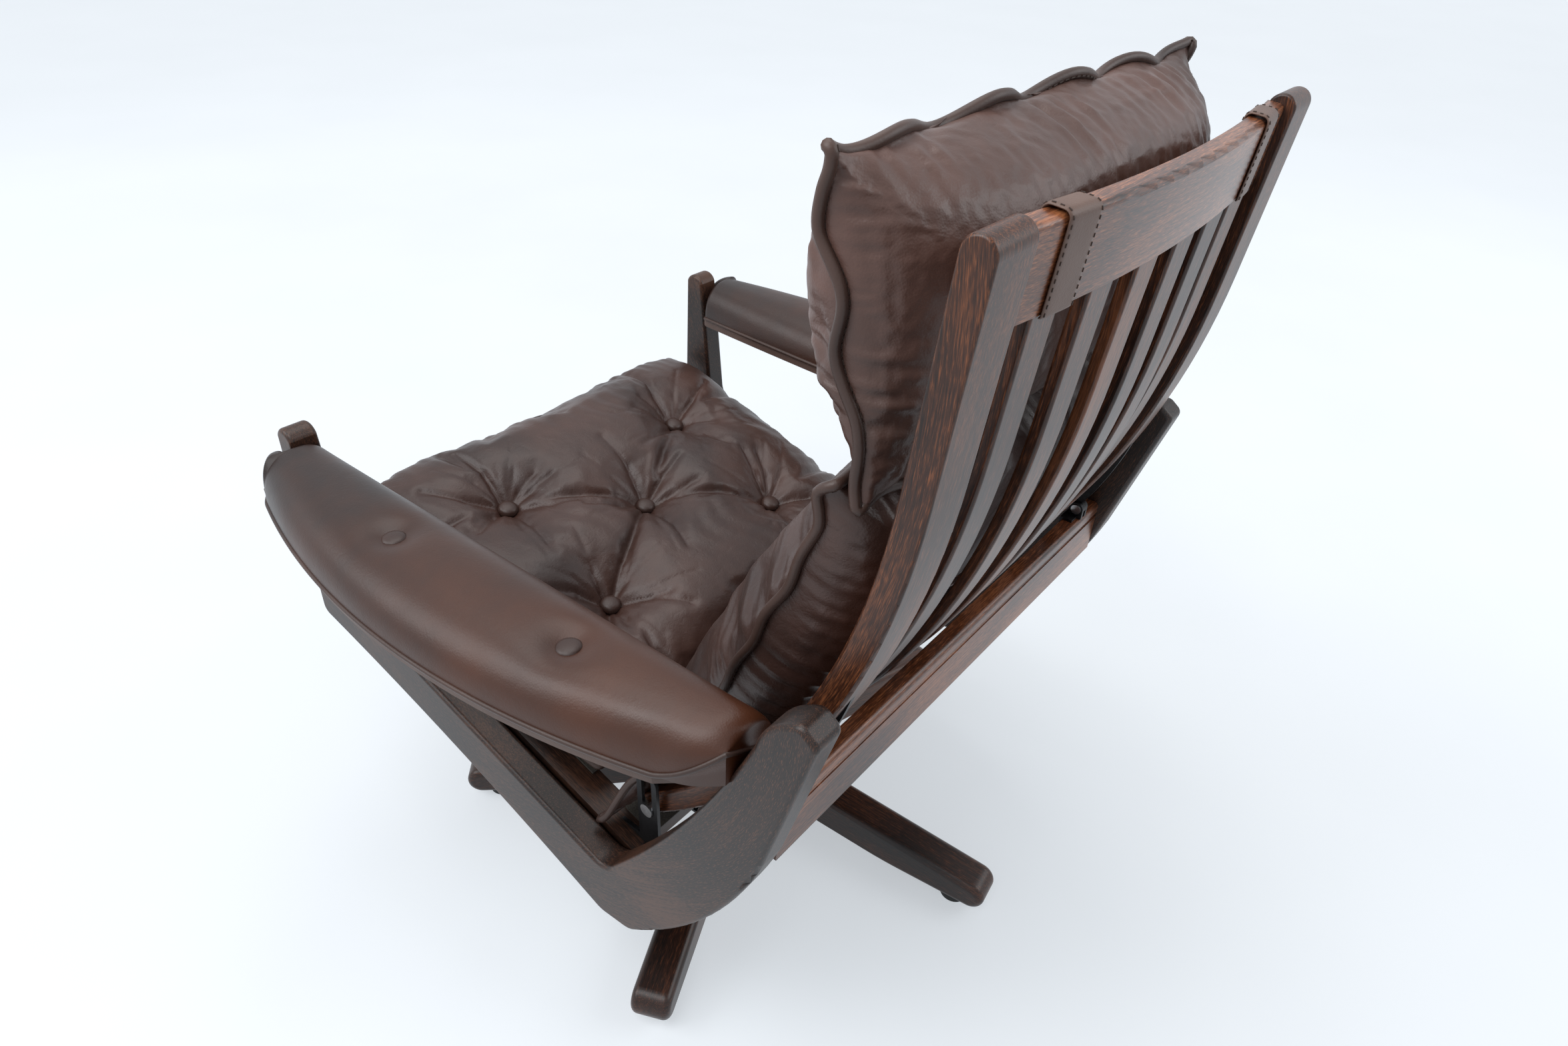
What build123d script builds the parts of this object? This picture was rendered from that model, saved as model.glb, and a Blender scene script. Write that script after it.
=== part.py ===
from build123d import *
import os
from math import atan2, cos, degrees, radians, sin, sqrt, tan

os.makedirs("parts", exist_ok=True)

# Swivel recliner with a five-legged wooden star, two open side frames, a slatted back
# and leather cushions. Millimetres, +Z up, the sitter faces -Y and +X is the sitter's left.

# Overall placing
axis_y = 9.0             # swivel axis behind the middle of the whole chair
joint_gap = 0.3          # air left between pieces that move past each other
fit_gap = 0.1            # radial air round dowels, screws and pins that stand still
run_gap = 0.05           # radial air in a turning bearing
overrun = 5.0            # how far a cutting solid runs past what it cuts

# Side frames, seen from the side
side_depth = 755.0
side_height = 453.0
side_thick = 32.0
side_gap = 610.0         # clear width between the two frames
heel_height = 157.0      # lowest edge of the frames above the floor
axis_share = 0.5285      # swivel axis behind the front face, in the frame's depth
seat_tilt = 16.0         # degrees that the rails fall towards the back
post_edge_round = 5.0
post_top_round = 9.0
heel_round = 28.0
crook_round = 26.0

# Seat frame, runners and webbing
deck_lift = 5.8          # deck above the top edge of the side frames
rail_depth = 32.0
rail_width = 36.0
seat_side_air = 3.0
seat_front = 470.0       # front end of the seat frame, ahead of the deck's datum
seat_rear = 54.0         # rear end of the seat frame, behind the same datum
runner_width = 18.0
runner_depth = 16.0
runner_front = 390.0
webbing_count = 6
webbing_width = 50.0
webbing_thick = 2.5

# Crossing pieces under the seat
stretcher_thick = 18.0
front_stretcher_depth = 40.0
front_stretcher_place = 400.0
front_stretcher_drop = 38.0
bar_size = 25.0
bar_wall = 2.5
bar_spread = 124.0
bar_drop = 52.5          # top of the steel bars below the deck
rear_stretcher_depth = 66.0

# Swivel
plate_thick = 5.0
plate_length = 190.0
plate_width = 150.0
cheek_thick = 6.0
cheek_low = 10.0         # height of the cheeks at their low end
flange_diameter = 92.0
flange_thick = 6.0
bolt_circle_share = 0.39 # in the flange's diameter
spindle_diameter = 30.0
bush_wall = 4.0
bush_flange = 4.0
tube_wall = 4.0
spindle_end_air = 12.0

# Star base
leg_count = 5
star_turn = 25.5         # degrees from +X to the first leg
leg_reach = 376.0
leg_width = 47.0
leg_depth = 40.0         # height of a leg near its tip
leg_root_top = 88.0
leg_top_round = 9.0
hub_apothem = 52.0
hub_height = 60.0
glide_height = 12.0
glide_diameter = 36.0
glide_setback = 43.0     # middle of a glide behind the tip of its leg
hub_plate_thick = 4.0
hub_plate_radius = 92.0
screw_radius = 2.5
screw_head_radius = 5.0
screw_head_thick = 2.5
hub_screw_length = 26.0

# Back frame
rail_bow_inset = 2.0     # slats' backs ahead of the cross rails' backs
back_radius = 752.0      # rear face of the stiles in its curved lower part
back_lean = 5.7          # degrees that the straight upper part leans back
stile_thick = 23.5
stile_width = 47.0
back_gap = 458.0         # clear width between the stiles
back_straight = 172.0    # straight part of the stiles above the curve
back_foot_angle = 49.8   # slope of the stiles at their lower end
pivot_angle = 29.9       # slope of the back at the height of the hinge
slat_count = 6
slat_pitch = 70.8
slat_width = 38.0
slat_thick = 11.0
top_rail_depth = 62.0
top_rail_thick = 15.0
top_rail_drop = 8.0
rail_bow = 15.0          # backward bow of the cross rails and the row of slats
rail_recess = 9.0        # back of the cross rails ahead of the stiles' backs, at their ends
bottom_rail_depth = 46.0

# Recline hinge
hinge_inset = 33.0       # hinge blades outside the inner faces of the stiles
hinge_back = 9.0         # pivot behind the front face of the rear stretcher
hinge_lift = 12.0        # pivot above the top of the rear stretcher
pin_radius = 4.0
eye_radius = 8.0
blade_thick = 5.0
blade_length = 112.0
ear_thick = 4.0
bracket_width = 40.0
bracket_thick = 3.0
bracket_drop = 26.0
link_pin_radius = 4.0
link_thick = 4.0
link_travel = 41.0       # rise of the link pin in its slot as the back reclines
slot_air = 3.0

# Arm pads
dowel_radius = 4.0
dowel_length = 30.0
arm_dowel_radius = 3.5
arm_drop = 116.0         # underside of the arm boards below the tops of the side frames
arm_board_thick = 12.0
pad_crown = 49.0
pad_edge = 26.0
pad_inner = 283.0
pad_width = 140.0
pad_length = 670.0
pad_setback = 18.0       # front of the pads behind the front of the side frames
board_inset = 2.0

# Cushions
seat_cushion_air = 17.0  # between the seat cushion and each side frame
seat_cushion_length = 482.0
seat_cushion_rear = 22.0 # rear end of the cushion ahead of the deck's datum
seat_cushion_rise = 98.0
button_spread = 290.0
button_row_spread = 188.0
back_cushion_half = 268.0
lumbar_thick = 140.0
head_thick = 150.0
lumbar_top_angle = 8.2   # upper end of the lumbar cushion, as a slope of the back curve
lumbar_span_angle = 44.4 # from there to its lower end
head_top_angle = -9.5
head_span_angle = 17.6
button_radius = 11.5
button_thick = 7.0
pad_button_radius = 12.5
tuft_depth = 24.0
tuft_radius = 46.0
crease_depth = 9.0
crease_radius = 16.0
strap_width = 45.0
strap_thick = 2.5
strap_x = 163.0


# Side frame outline, in shares of its depth (from the front) and of its height (from the heel)
side_front = axis_y - axis_share * side_depth


def side_at(depth_share, height_share):
    """Place in the side view, as (y, z), of a point of the side frame."""
    return (side_front + depth_share * side_depth, heel_height + height_share * side_height)


front_foot = side_at(0.000, 0.316)
front_head = side_at(0.012, 0.880)
front_crest = side_at(0.032, 0.903)
front_back = side_at(0.052, 0.880)
front_arch = side_at(0.322, 0.185)
rail_end = side_at(0.611, 0.210)
crook = side_at(0.669, 0.182)
rear_inner_mid = side_at(0.818, 0.545)
rear_inner_top = side_at(0.923, 0.896)
rear_crest_front = side_at(0.952, 0.978)
rear_crest = side_at(0.978, 1.004)
rear_head = side_at(1.000, 0.978)
rear_waist = side_at(0.939, 0.600)
rear_swell = side_at(0.841, 0.265)
heel_back = side_at(0.711, 0.016)
heel_front = side_at(0.652, 0.000)

side_inner = side_gap / 2
hinge_half = back_gap / 2 + hinge_inset
arm_height = heel_height + side_height - arm_drop
deck_slope = tan(radians(seat_tilt))


def deck_z(y):
    """Height of the rails' sloping top edge, carried on past its ends."""
    return rail_end[1] + (rail_end[0] - y) * deck_slope


post_foot = (side_at(0.078, 0.0)[0], deck_z(side_at(0.078, 0.0)[0]))

# Deck: the plane under the seat cushion, y down the slope to the back, z square off it
deck = Plane(
    origin=(0, rail_end[0], rail_end[1] + deck_lift),
    x_dir=(1, 0, 0),
    z_dir=(0, sin(radians(seat_tilt)), cos(radians(seat_tilt))),
)


def on_deck(u, w):
    """Place in the side view, as (y, z), of a point given along and off the deck."""
    place = deck.from_local_coords((0, u, w))
    return (place.Y, place.Z)


def in_deck(y, z):
    """Place along and off the deck, as (u, w), of a point of the side view."""
    place = deck.to_local_coords((0, y, z))
    return (place.Y, place.Z)


# Back curve: rear face of the stiles, an arc below and a straight line above
stretcher_top = side_at(0.0, 0.678)[1]
stretcher_front = side_at(0.904, 0.0)[0]
pivot_y = stretcher_front + hinge_back
pivot_z = stretcher_top + hinge_lift
pivot_reach = back_radius + eye_radius + joint_gap + joint_gap
back_centre_y = pivot_y - pivot_reach * cos(radians(pivot_angle))
back_centre_z = pivot_z + pivot_reach * sin(radians(pivot_angle))


def back_at(angle, inset=0.0):
    """Point (y, z) of the back curve where it slopes by angle, inset from the rear face."""
    radius = back_radius - inset
    return (
        back_centre_y + radius * cos(radians(angle)),
        back_centre_z - radius * sin(radians(angle)),
    )


def back_above(rise, inset=0.0):
    """Point (y, z) of the straight part, rise along it from its lower end."""
    foot = back_at(back_lean, inset)
    return (foot[0] + rise * sin(radians(back_lean)), foot[1] + rise * cos(radians(back_lean)))


sides = (("left", 1), ("right", -1))

# Star base: hub, steel plate, legs, glides
leg_bottom = glide_height
glide_reach = leg_reach - glide_setback
hub_bottom = leg_root_top - hub_height + glide_height / 3
root_flat = hub_plate_radius + leg_width / 4
bolt_circle_radius = bolt_circle_share * flange_diameter
tube_radius = spindle_diameter / 2 + run_gap + bush_wall + fit_gap + tube_wall
axis_plane = Plane(origin=(0, axis_y, 0))

with BuildPart() as base_hub:
    with BuildSketch(axis_plane.offset(hub_bottom)):
        RegularPolygon(
            radius=hub_apothem, side_count=leg_count, major_radius=False,
            rotation=star_turn + 180 / leg_count,
        )
    extrude(amount=hub_height)
    fillet(base_hub.faces().sort_by(Axis.Z)[-1].edges(), radius=leg_top_round / 3)
    with BuildSketch(axis_plane.offset(hub_bottom)):
        Circle(tube_radius + fit_gap)
    extrude(amount=hub_height, mode=Mode.SUBTRACT)
base_hub.part.label = "base_hub"
export_step(base_hub.part, "parts/base_hub.step")

leg_angles = [star_turn + 360 / leg_count * number for number in range(leg_count)]
tip_round = leg_depth / 2
leg_fall = atan2(leg_root_top - leg_bottom - leg_depth, leg_reach - tip_round - hub_apothem)
screw_places = [hub_apothem + leg_width / 3, root_flat - leg_width / 3]

for number, angle in enumerate(leg_angles, start=1):
    turn = radians(angle)
    upright = Plane(
        origin=(0, axis_y, 0), x_dir=(cos(turn), sin(turn), 0), z_dir=(sin(turn), -cos(turn), 0)
    )
    tip_back = (
        leg_reach - tip_round + tip_round * sin(leg_fall),
        leg_bottom + tip_round + tip_round * cos(leg_fall),
    )
    glide_front = glide_reach - glide_diameter
    with BuildPart() as leg:
        with BuildSketch(upright):
            with BuildLine():
                Line((hub_apothem, hub_bottom), (root_flat, hub_bottom))
                Line((root_flat, hub_bottom), (glide_front, leg_bottom))
                Line((glide_front, leg_bottom), (leg_reach - tip_round, leg_bottom))
                ThreePointArc(
                    (leg_reach - tip_round, leg_bottom),
                    (leg_reach, leg_bottom + tip_round),
                    tip_back,
                )
                Line(tip_back, (hub_apothem, leg_root_top))
                Line((hub_apothem, leg_root_top), (hub_apothem, hub_bottom))
            make_face()
        extrude(amount=leg_width / 2, both=True)
        crown = leg.faces().filter_by(Plane(upright.origin, z_dir=upright.z_dir)).edges()
        high = [e for e in crown if e.center().Z > leg_bottom + leg_depth / 2 - leg_top_round]
        fillet([e for e in high if e.length > hub_height], radius=leg_top_round)
        for place in screw_places:
            with Locations(upright.from_local_coords((place, hub_bottom, 0))):
                Cylinder(
                    screw_radius + fit_gap, hub_screw_length,
                    align=(Align.CENTER, Align.CENTER, Align.MIN), mode=Mode.SUBTRACT,
                )
    leg.part.label = f"base_leg_{number}"
    export_step(leg.part, f"parts/base_leg_{number}.step")

with BuildPart() as floor_glides:
    with BuildSketch(axis_plane):
        with PolarLocations(glide_reach, leg_count, start_angle=star_turn):
            Circle(glide_diameter / 2)
    extrude(amount=glide_height)
    chamfer(floor_glides.faces().sort_by(Axis.Z)[:leg_count].edges(), length=glide_height / 8)
floor_glides.part.label = "floor_glides"
export_step(floor_glides.part, "parts/floor_glides.step")

with BuildPart() as hub_plate:
    with BuildSketch(axis_plane.offset(hub_bottom - hub_plate_thick)):
        Circle(root_flat)
        for place in screw_places:
            with PolarLocations(place, leg_count, start_angle=star_turn):
                Circle(screw_radius + fit_gap, mode=Mode.SUBTRACT)
    extrude(amount=hub_plate_thick)
hub_plate.part.label = "hub_plate"
export_step(hub_plate.part, "parts/hub_plate.step")

with BuildPart() as hub_screws:
    with BuildSketch(axis_plane.offset(hub_bottom - hub_plate_thick - screw_head_thick)):
        for place in screw_places:
            with PolarLocations(place, leg_count, start_angle=star_turn):
                Circle(screw_head_radius)
    extrude(amount=screw_head_thick)
    with BuildSketch(axis_plane.offset(hub_bottom - hub_plate_thick)):
        for place in screw_places:
            with PolarLocations(place, leg_count, start_angle=star_turn):
                Circle(screw_radius)
    extrude(amount=hub_screw_length)
hub_screws.part.label = "hub_screws"
export_step(hub_screws.part, "parts/hub_screws.step")

# Steel bars under the seat and the swivel that carries them
bar_low = -(bar_drop + bar_size)
axis_u = in_deck(axis_y, on_deck(0, bar_low)[1])[0]
bar_places = [axis_u + side_sign * bar_spread / 2 for side_sign in (-1, 1)]
cheek_ends = (bar_places[0] - bar_size / 2, bar_places[1] + bar_size / 2)
plate_top = on_deck(cheek_ends[1], bar_low)[1] - cheek_low
plate_bottom = plate_top - plate_thick
flange_bottom = plate_bottom - flange_thick
tube_top = flange_bottom - joint_gap - bush_flange
bush_radius = spindle_diameter / 2 + run_gap + bush_wall
bush_depth = (tube_top - hub_bottom) * 0.7
spindle_bottom = tube_top - bush_depth - spindle_end_air

with BuildPart() as column_tube:
    with BuildSketch(axis_plane.offset(hub_bottom)):
        Circle(tube_radius)
        Circle(tube_radius - tube_wall, mode=Mode.SUBTRACT)
    extrude(amount=tube_top - hub_bottom)
column_tube.part.label = "column_tube"
export_step(column_tube.part, "parts/column_tube.step")

with BuildPart() as column_bush:
    with BuildSketch(axis_plane.offset(tube_top - bush_depth)):
        Circle(bush_radius)
    extrude(amount=bush_depth)
    with BuildSketch(axis_plane.offset(tube_top)):
        Circle(tube_radius)
    extrude(amount=bush_flange)
    with BuildSketch(axis_plane.offset(tube_top - bush_depth)):
        Circle(spindle_diameter / 2 + run_gap)
    extrude(amount=bush_depth + bush_flange, mode=Mode.SUBTRACT)
column_bush.part.label = "column_bush"
export_step(column_bush.part, "parts/column_bush.step")

with BuildPart() as swivel_spindle:
    with BuildSketch(axis_plane.offset(spindle_bottom)):
        Circle(spindle_diameter / 2)
    extrude(amount=flange_bottom - spindle_bottom)
    with BuildSketch(axis_plane.offset(flange_bottom)):
        Circle(flange_diameter / 2)
        with PolarLocations(bolt_circle_radius, leg_count - 1, start_angle=180 / (leg_count - 1)):
            Circle(screw_radius + fit_gap, mode=Mode.SUBTRACT)
    extrude(amount=flange_thick)
swivel_spindle.part.label = "swivel_spindle"
export_step(swivel_spindle.part, "parts/swivel_spindle.step")

with BuildPart() as swivel_plate:
    with BuildSketch(axis_plane.offset(plate_bottom)):
        RectangleRounded(plate_width, plate_length, radius=plate_thick * 2)
        with PolarLocations(bolt_circle_radius, leg_count - 1, start_angle=180 / (leg_count - 1)):
            Circle(screw_radius + fit_gap, mode=Mode.SUBTRACT)
    extrude(amount=plate_thick)
swivel_plate.part.label = "swivel_plate"
export_step(swivel_plate.part, "parts/swivel_plate.step")

cheek_front = on_deck(cheek_ends[0], bar_low)
cheek_back = on_deck(cheek_ends[1], bar_low)
cheek_x = plate_width / 2 - cheek_thick * 2

with BuildPart() as swivel_cheeks:
    for side, sign in sides:
        with BuildSketch(Plane.YZ.offset(sign * cheek_x - cheek_thick / 2)):
            with BuildLine():
                Polyline(
                    cheek_front, cheek_back, (cheek_back[0], plate_top),
                    (cheek_front[0], plate_top), close=True,
                )
            make_face()
        extrude(amount=cheek_thick)
swivel_cheeks.part.label = "swivel_cheeks"
export_step(swivel_cheeks.part, "parts/swivel_cheeks.step")

for name, place in zip(("front", "rear"), bar_places):
    with BuildPart() as bar:
        with BuildSketch(Plane(deck.from_local_coords((-side_inner, place, bar_low + bar_size / 2)),
                               x_dir=deck.y_dir, z_dir=(1, 0, 0))):
            RectangleRounded(bar_size, bar_size, radius=bar_wall)
            Rectangle(bar_size - 2 * bar_wall, bar_size - 2 * bar_wall, mode=Mode.SUBTRACT)
        extrude(amount=side_gap)
    bar.part.label = f"steel_bar_{name}"
    export_step(bar.part, f"parts/steel_bar_{name}.step")

with BuildPart() as swivel_bolts:
    with BuildSketch(axis_plane.offset(flange_bottom - screw_head_thick)):
        with PolarLocations(bolt_circle_radius, leg_count - 1, start_angle=180 / (leg_count - 1)):
            Circle(screw_head_radius)
    extrude(amount=screw_head_thick)
    with BuildSketch(axis_plane.offset(flange_bottom)):
        with PolarLocations(bolt_circle_radius, leg_count - 1, start_angle=180 / (leg_count - 1)):
            Circle(screw_radius)
    extrude(amount=flange_thick + plate_thick)
swivel_bolts.part.label = "swivel_bolts"
export_step(swivel_bolts.part, "parts/swivel_bolts.step")

# Side frames: front post, sloping rail and rear post bent from one board
runner_low = -(webbing_thick + rail_depth + joint_gap + runner_depth)
stretcher_bottom = stretcher_top - rear_stretcher_depth
stretcher_middle = stretcher_front + stretcher_thick / 2
rear_dowels = [
    (stretcher_middle, stretcher_bottom + rear_stretcher_depth * share) for share in (0.25, 0.75)
]
front_low = -(front_stretcher_drop + front_stretcher_depth)
front_dowels = [
    on_deck(-(front_stretcher_place + stretcher_thick / 2), front_low + front_stretcher_depth * share)
    for share in (0.28, 0.72)
]
arm_middle = arm_height + arm_board_thick / 2
front_post_back = side_at(0.055, 0.0)[0]
rear_post_front = side_at(0.876, 0.0)[0]


def side_outline():
    """Draw the outline of a side frame in the side view, sharp at its corners."""
    with BuildLine() as outline:
        Line(front_foot, front_head)
        ThreePointArc(front_head, front_crest, front_back)
        Line(front_back, post_foot)
        Line(post_foot, crook)
        ThreePointArc(crook, rear_inner_mid, rear_inner_top)
        ThreePointArc(rear_inner_top, rear_crest_front, rear_crest)
        Line(rear_crest, rear_head)
        Line(rear_head, rear_waist)
        ThreePointArc(rear_waist, rear_swell, heel_back)
        Line(heel_back, heel_front)
        ThreePointArc(heel_front, front_arch, front_foot)
    return make_face(outline.edges())


with BuildPart() as side_block:
    with BuildSketch(Plane.YZ.offset(side_inner - fit_gap)):
        add(side_outline())
    extrude(amount=side_thick + 2 * fit_gap)

for side, sign in sides:
    with BuildPart() as side_frame:
        with BuildSketch(Plane.YZ.offset(side_inner)) as side_face:
            add(side_outline())
            corners = side_face.vertices()
            fillet(corners.sort_by_distance(crook)[0], radius=crook_round)
            fillet(side_face.vertices().sort_by_distance(post_foot)[0], radius=crook_round)
            fillet(side_face.vertices().sort_by_distance(front_foot)[0], radius=heel_round / 2)
            fillet(side_face.vertices().sort_by_distance(rear_head)[0], radius=post_top_round)
            fillet(side_face.vertices().sort_by_distance(rear_crest)[0], radius=post_top_round)
            fillet(side_face.vertices().sort_by_distance(heel_front)[0], radius=heel_round)
            fillet(side_face.vertices().sort_by_distance(heel_back)[0], radius=heel_round)
        extrude(amount=side_thick)
        flats = side_frame.faces().filter_by(Axis.X)
        fillet(flats.edges(), radius=post_edge_round)
        with BuildSketch(Plane.YZ.offset(side_inner)):
            with Locations(*rear_dowels, *front_dowels):
                Circle(dowel_radius + fit_gap)
        extrude(amount=dowel_length / 2, mode=Mode.SUBTRACT)
        with BuildSketch(Plane.XZ.offset(-front_post_back)):
            with Locations((side_inner + side_thick / 2, arm_middle)):
                Circle(arm_dowel_radius + fit_gap)
        extrude(amount=dowel_length / 2, both=True, mode=Mode.SUBTRACT)
        with BuildSketch(Plane.XZ.offset(-rear_post_front)):
            with Locations((side_inner + side_thick / 2, arm_middle)):
                Circle(arm_dowel_radius + fit_gap)
        extrude(amount=dowel_length / 2, both=True, mode=Mode.SUBTRACT)
    frame_part = side_frame.part if sign > 0 else mirror(side_frame.part, about=Plane.YZ)
    frame_part.label = f"side_frame_{side}"
    export_step(frame_part, f"parts/side_frame_{side}.step")

# Cross members between the side frames
groove_radius = stretcher_thick / 6
bracket_screw_z = stretcher_top - bracket_drop / 2

with BuildPart() as rear_stretcher:
    with BuildSketch(Plane.YZ.offset(-side_inner)):
        with Locations((stretcher_middle, (stretcher_bottom + stretcher_top) / 2)):
            Rectangle(stretcher_thick, rear_stretcher_depth)
    extrude(amount=side_gap)
    long_edges = rear_stretcher.edges().filter_by(Axis.X)
    top_back = long_edges.sort_by_distance((0, stretcher_middle + stretcher_thick, stretcher_top))[0]
    fillet(top_back, radius=stretcher_thick / 3)
    groove_z = stretcher_top - rear_stretcher_depth / 4
    with BuildSketch(Plane.YZ.offset(-side_inner)):
        with Locations((stretcher_middle + stretcher_thick / 2, groove_z)):
            Circle(groove_radius)
    extrude(amount=side_gap, mode=Mode.SUBTRACT)
    for side, sign in sides:
        with BuildSketch(Plane.YZ.offset(sign * side_inner)):
            with Locations(*rear_dowels):
                Circle(dowel_radius + fit_gap)
        extrude(amount=-sign * dowel_length / 2, mode=Mode.SUBTRACT)
        with BuildSketch(Plane.XZ.offset(-stretcher_front)):
            for step in (-1, 1):
                with Locations((sign * (hinge_half + step * bracket_width / 3), bracket_screw_z)):
                    Circle(screw_radius + fit_gap)
        extrude(amount=-stretcher_thick * 0.7, mode=Mode.SUBTRACT)
rear_stretcher.part.label = "rear_stretcher"
export_step(rear_stretcher.part, "parts/rear_stretcher.step")

with BuildPart() as front_stretcher:
    front_middle = on_deck(
        -(front_stretcher_place + stretcher_thick / 2), front_low + front_stretcher_depth / 2
    )
    with BuildSketch(Plane((-side_inner, *front_middle), x_dir=deck.y_dir, z_dir=(1, 0, 0))):
        Rectangle(stretcher_thick, front_stretcher_depth)
    extrude(amount=side_gap)
    for side, sign in sides:
        with BuildSketch(Plane.YZ.offset(sign * side_inner)):
            with Locations(*front_dowels):
                Circle(dowel_radius + fit_gap)
        extrude(amount=-sign * dowel_length / 2, mode=Mode.SUBTRACT)
front_stretcher.part.label = "front_stretcher"
export_step(front_stretcher.part, "parts/front_stretcher.step")

with BuildPart() as frame_dowels:
    for side, sign in sides:
        with BuildSketch(Plane.YZ.offset(sign * side_inner - dowel_length / 2)):
            with Locations(*rear_dowels, *front_dowels):
                Circle(dowel_radius)
        extrude(amount=dowel_length)
        for place in (front_post_back, rear_post_front):
            with BuildSketch(Plane.XZ.offset(-(place + dowel_length / 2))):
                with Locations((sign * (side_inner + side_thick / 2), arm_middle)):
                    Circle(arm_dowel_radius)
            extrude(amount=dowel_length)
frame_dowels.part.label = "frame_dowels"
export_step(frame_dowels.part, "parts/frame_dowels.step")

# Runners that the seat frame slides on, screwed to the side frames
runner_top = -(webbing_thick + rail_depth + joint_gap)
runner_length = runner_front + seat_rear
runner_screw_share = (0.1, 0.5, 0.9)
runner_screws_at = [
    on_deck(share * runner_length - runner_front, runner_top - runner_depth / 2)
    for share in runner_screw_share
]
for side, sign in sides:
    with BuildPart() as runner:
        with BuildSketch(deck.offset(runner_low)):
            with Locations((sign * (side_inner - runner_width / 2), (seat_rear - runner_front) / 2)):
                Rectangle(runner_width, runner_length)
        extrude(amount=runner_depth)
        with BuildSketch(Plane.YZ.offset(sign * side_inner)):
            with Locations(*runner_screws_at):
                Circle(screw_radius + fit_gap)
        extrude(amount=-sign * runner_width, mode=Mode.SUBTRACT)
    runner.part.label = f"seat_runner_{side}"
    export_step(runner.part, f"parts/seat_runner_{side}.step")

with BuildPart() as frame_screws:
    for side, sign in sides:
        with BuildSketch(Plane.YZ.offset(sign * (side_inner - runner_width))):
            with Locations(*runner_screws_at):
                Circle(screw_head_radius)
        extrude(amount=-sign * screw_head_thick)
        with BuildSketch(Plane.YZ.offset(sign * (side_inner - runner_width))):
            with Locations(*runner_screws_at):
                Circle(screw_radius)
        extrude(amount=sign * runner_width)
        for step in (-1, 1):
            spot = (sign * (hinge_half + step * bracket_width / 3), bracket_screw_z)
            with BuildSketch(Plane.XZ.offset(bracket_thick + screw_head_thick - stretcher_front)):
                with Locations(spot):
                    Circle(screw_head_radius)
            extrude(amount=-screw_head_thick)
            with BuildSketch(Plane.XZ.offset(bracket_thick - stretcher_front)):
                with Locations(spot):
                    Circle(screw_radius)
            extrude(amount=-(bracket_thick + stretcher_thick * 0.7))
frame_screws.part.label = "frame_screws"
export_step(frame_screws.part, "parts/frame_screws.step")

# Arm boards and the leather pads on them
pad_front = side_front + pad_setback
pad_inner_front_share = (0.121, 0.048)
pad_inner_middle_share = (0.029, 0.475)
pad_inner_rear_share = (0.000, 0.833)
pad_rear_inner_share = (0.050, 0.964)
pad_rear_tip_share = (0.271, 1.000)
pad_rear_outer_share = (0.407, 0.955)
pad_side_rear_share = (0.636, 0.904)
pad_side_middle_share = (1.000, 0.504)
pad_side_front_share = (0.636, 0.003)
pad_front_inner_share = (0.264, 0.000)


def pad_at(share):
    """Place in the plan, on the left side, of a point in shares of the pad's box."""
    return (pad_inner + share[0] * pad_width, pad_front + share[1] * pad_length)


def pad_outline():
    """Draw the plan outline of the left arm pad; the posts are cut out of it later."""
    with BuildLine() as outline:
        ThreePointArc(
            pad_at(pad_inner_front_share), pad_at(pad_inner_middle_share),
            pad_at(pad_inner_rear_share),
        )
        Line(pad_at(pad_inner_rear_share), pad_at(pad_rear_inner_share))
        Line(pad_at(pad_rear_inner_share), pad_at(pad_rear_tip_share))
        Line(pad_at(pad_rear_tip_share), pad_at(pad_rear_outer_share))
        Line(pad_at(pad_rear_outer_share), pad_at(pad_side_rear_share))
        ThreePointArc(
            pad_at(pad_side_rear_share), pad_at(pad_side_middle_share),
            pad_at(pad_side_front_share),
        )
        Line(pad_at(pad_side_front_share), pad_at(pad_front_inner_share))
        Line(pad_at(pad_front_inner_share), pad_at(pad_inner_front_share))
    return make_face(outline.edges())


pad_bottom = arm_height + arm_board_thick
pad_buttons = [pad_at(share) for share in ((0.514, 0.360), (0.443, 0.720))]
pad_button_seat = pad_crown - tuft_depth / 2
pad_right = pad_at(pad_side_middle_share)

with BuildPart() as arm_board:
    with BuildSketch(Plane.XY.offset(arm_height)):
        add(pad_outline())
        offset(amount=-board_inset, kind=Kind.INTERSECTION, mode=Mode.REPLACE)
    extrude(amount=arm_board_thick)
    add(side_block.part, mode=Mode.SUBTRACT)
    for place in (front_post_back, rear_post_front):
        with BuildSketch(Plane.XZ.offset(-place)):
            with Locations((side_inner + side_thick / 2, arm_middle)):
                Circle(arm_dowel_radius + fit_gap)
        extrude(amount=dowel_length / 2, both=True, mode=Mode.SUBTRACT)

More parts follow.
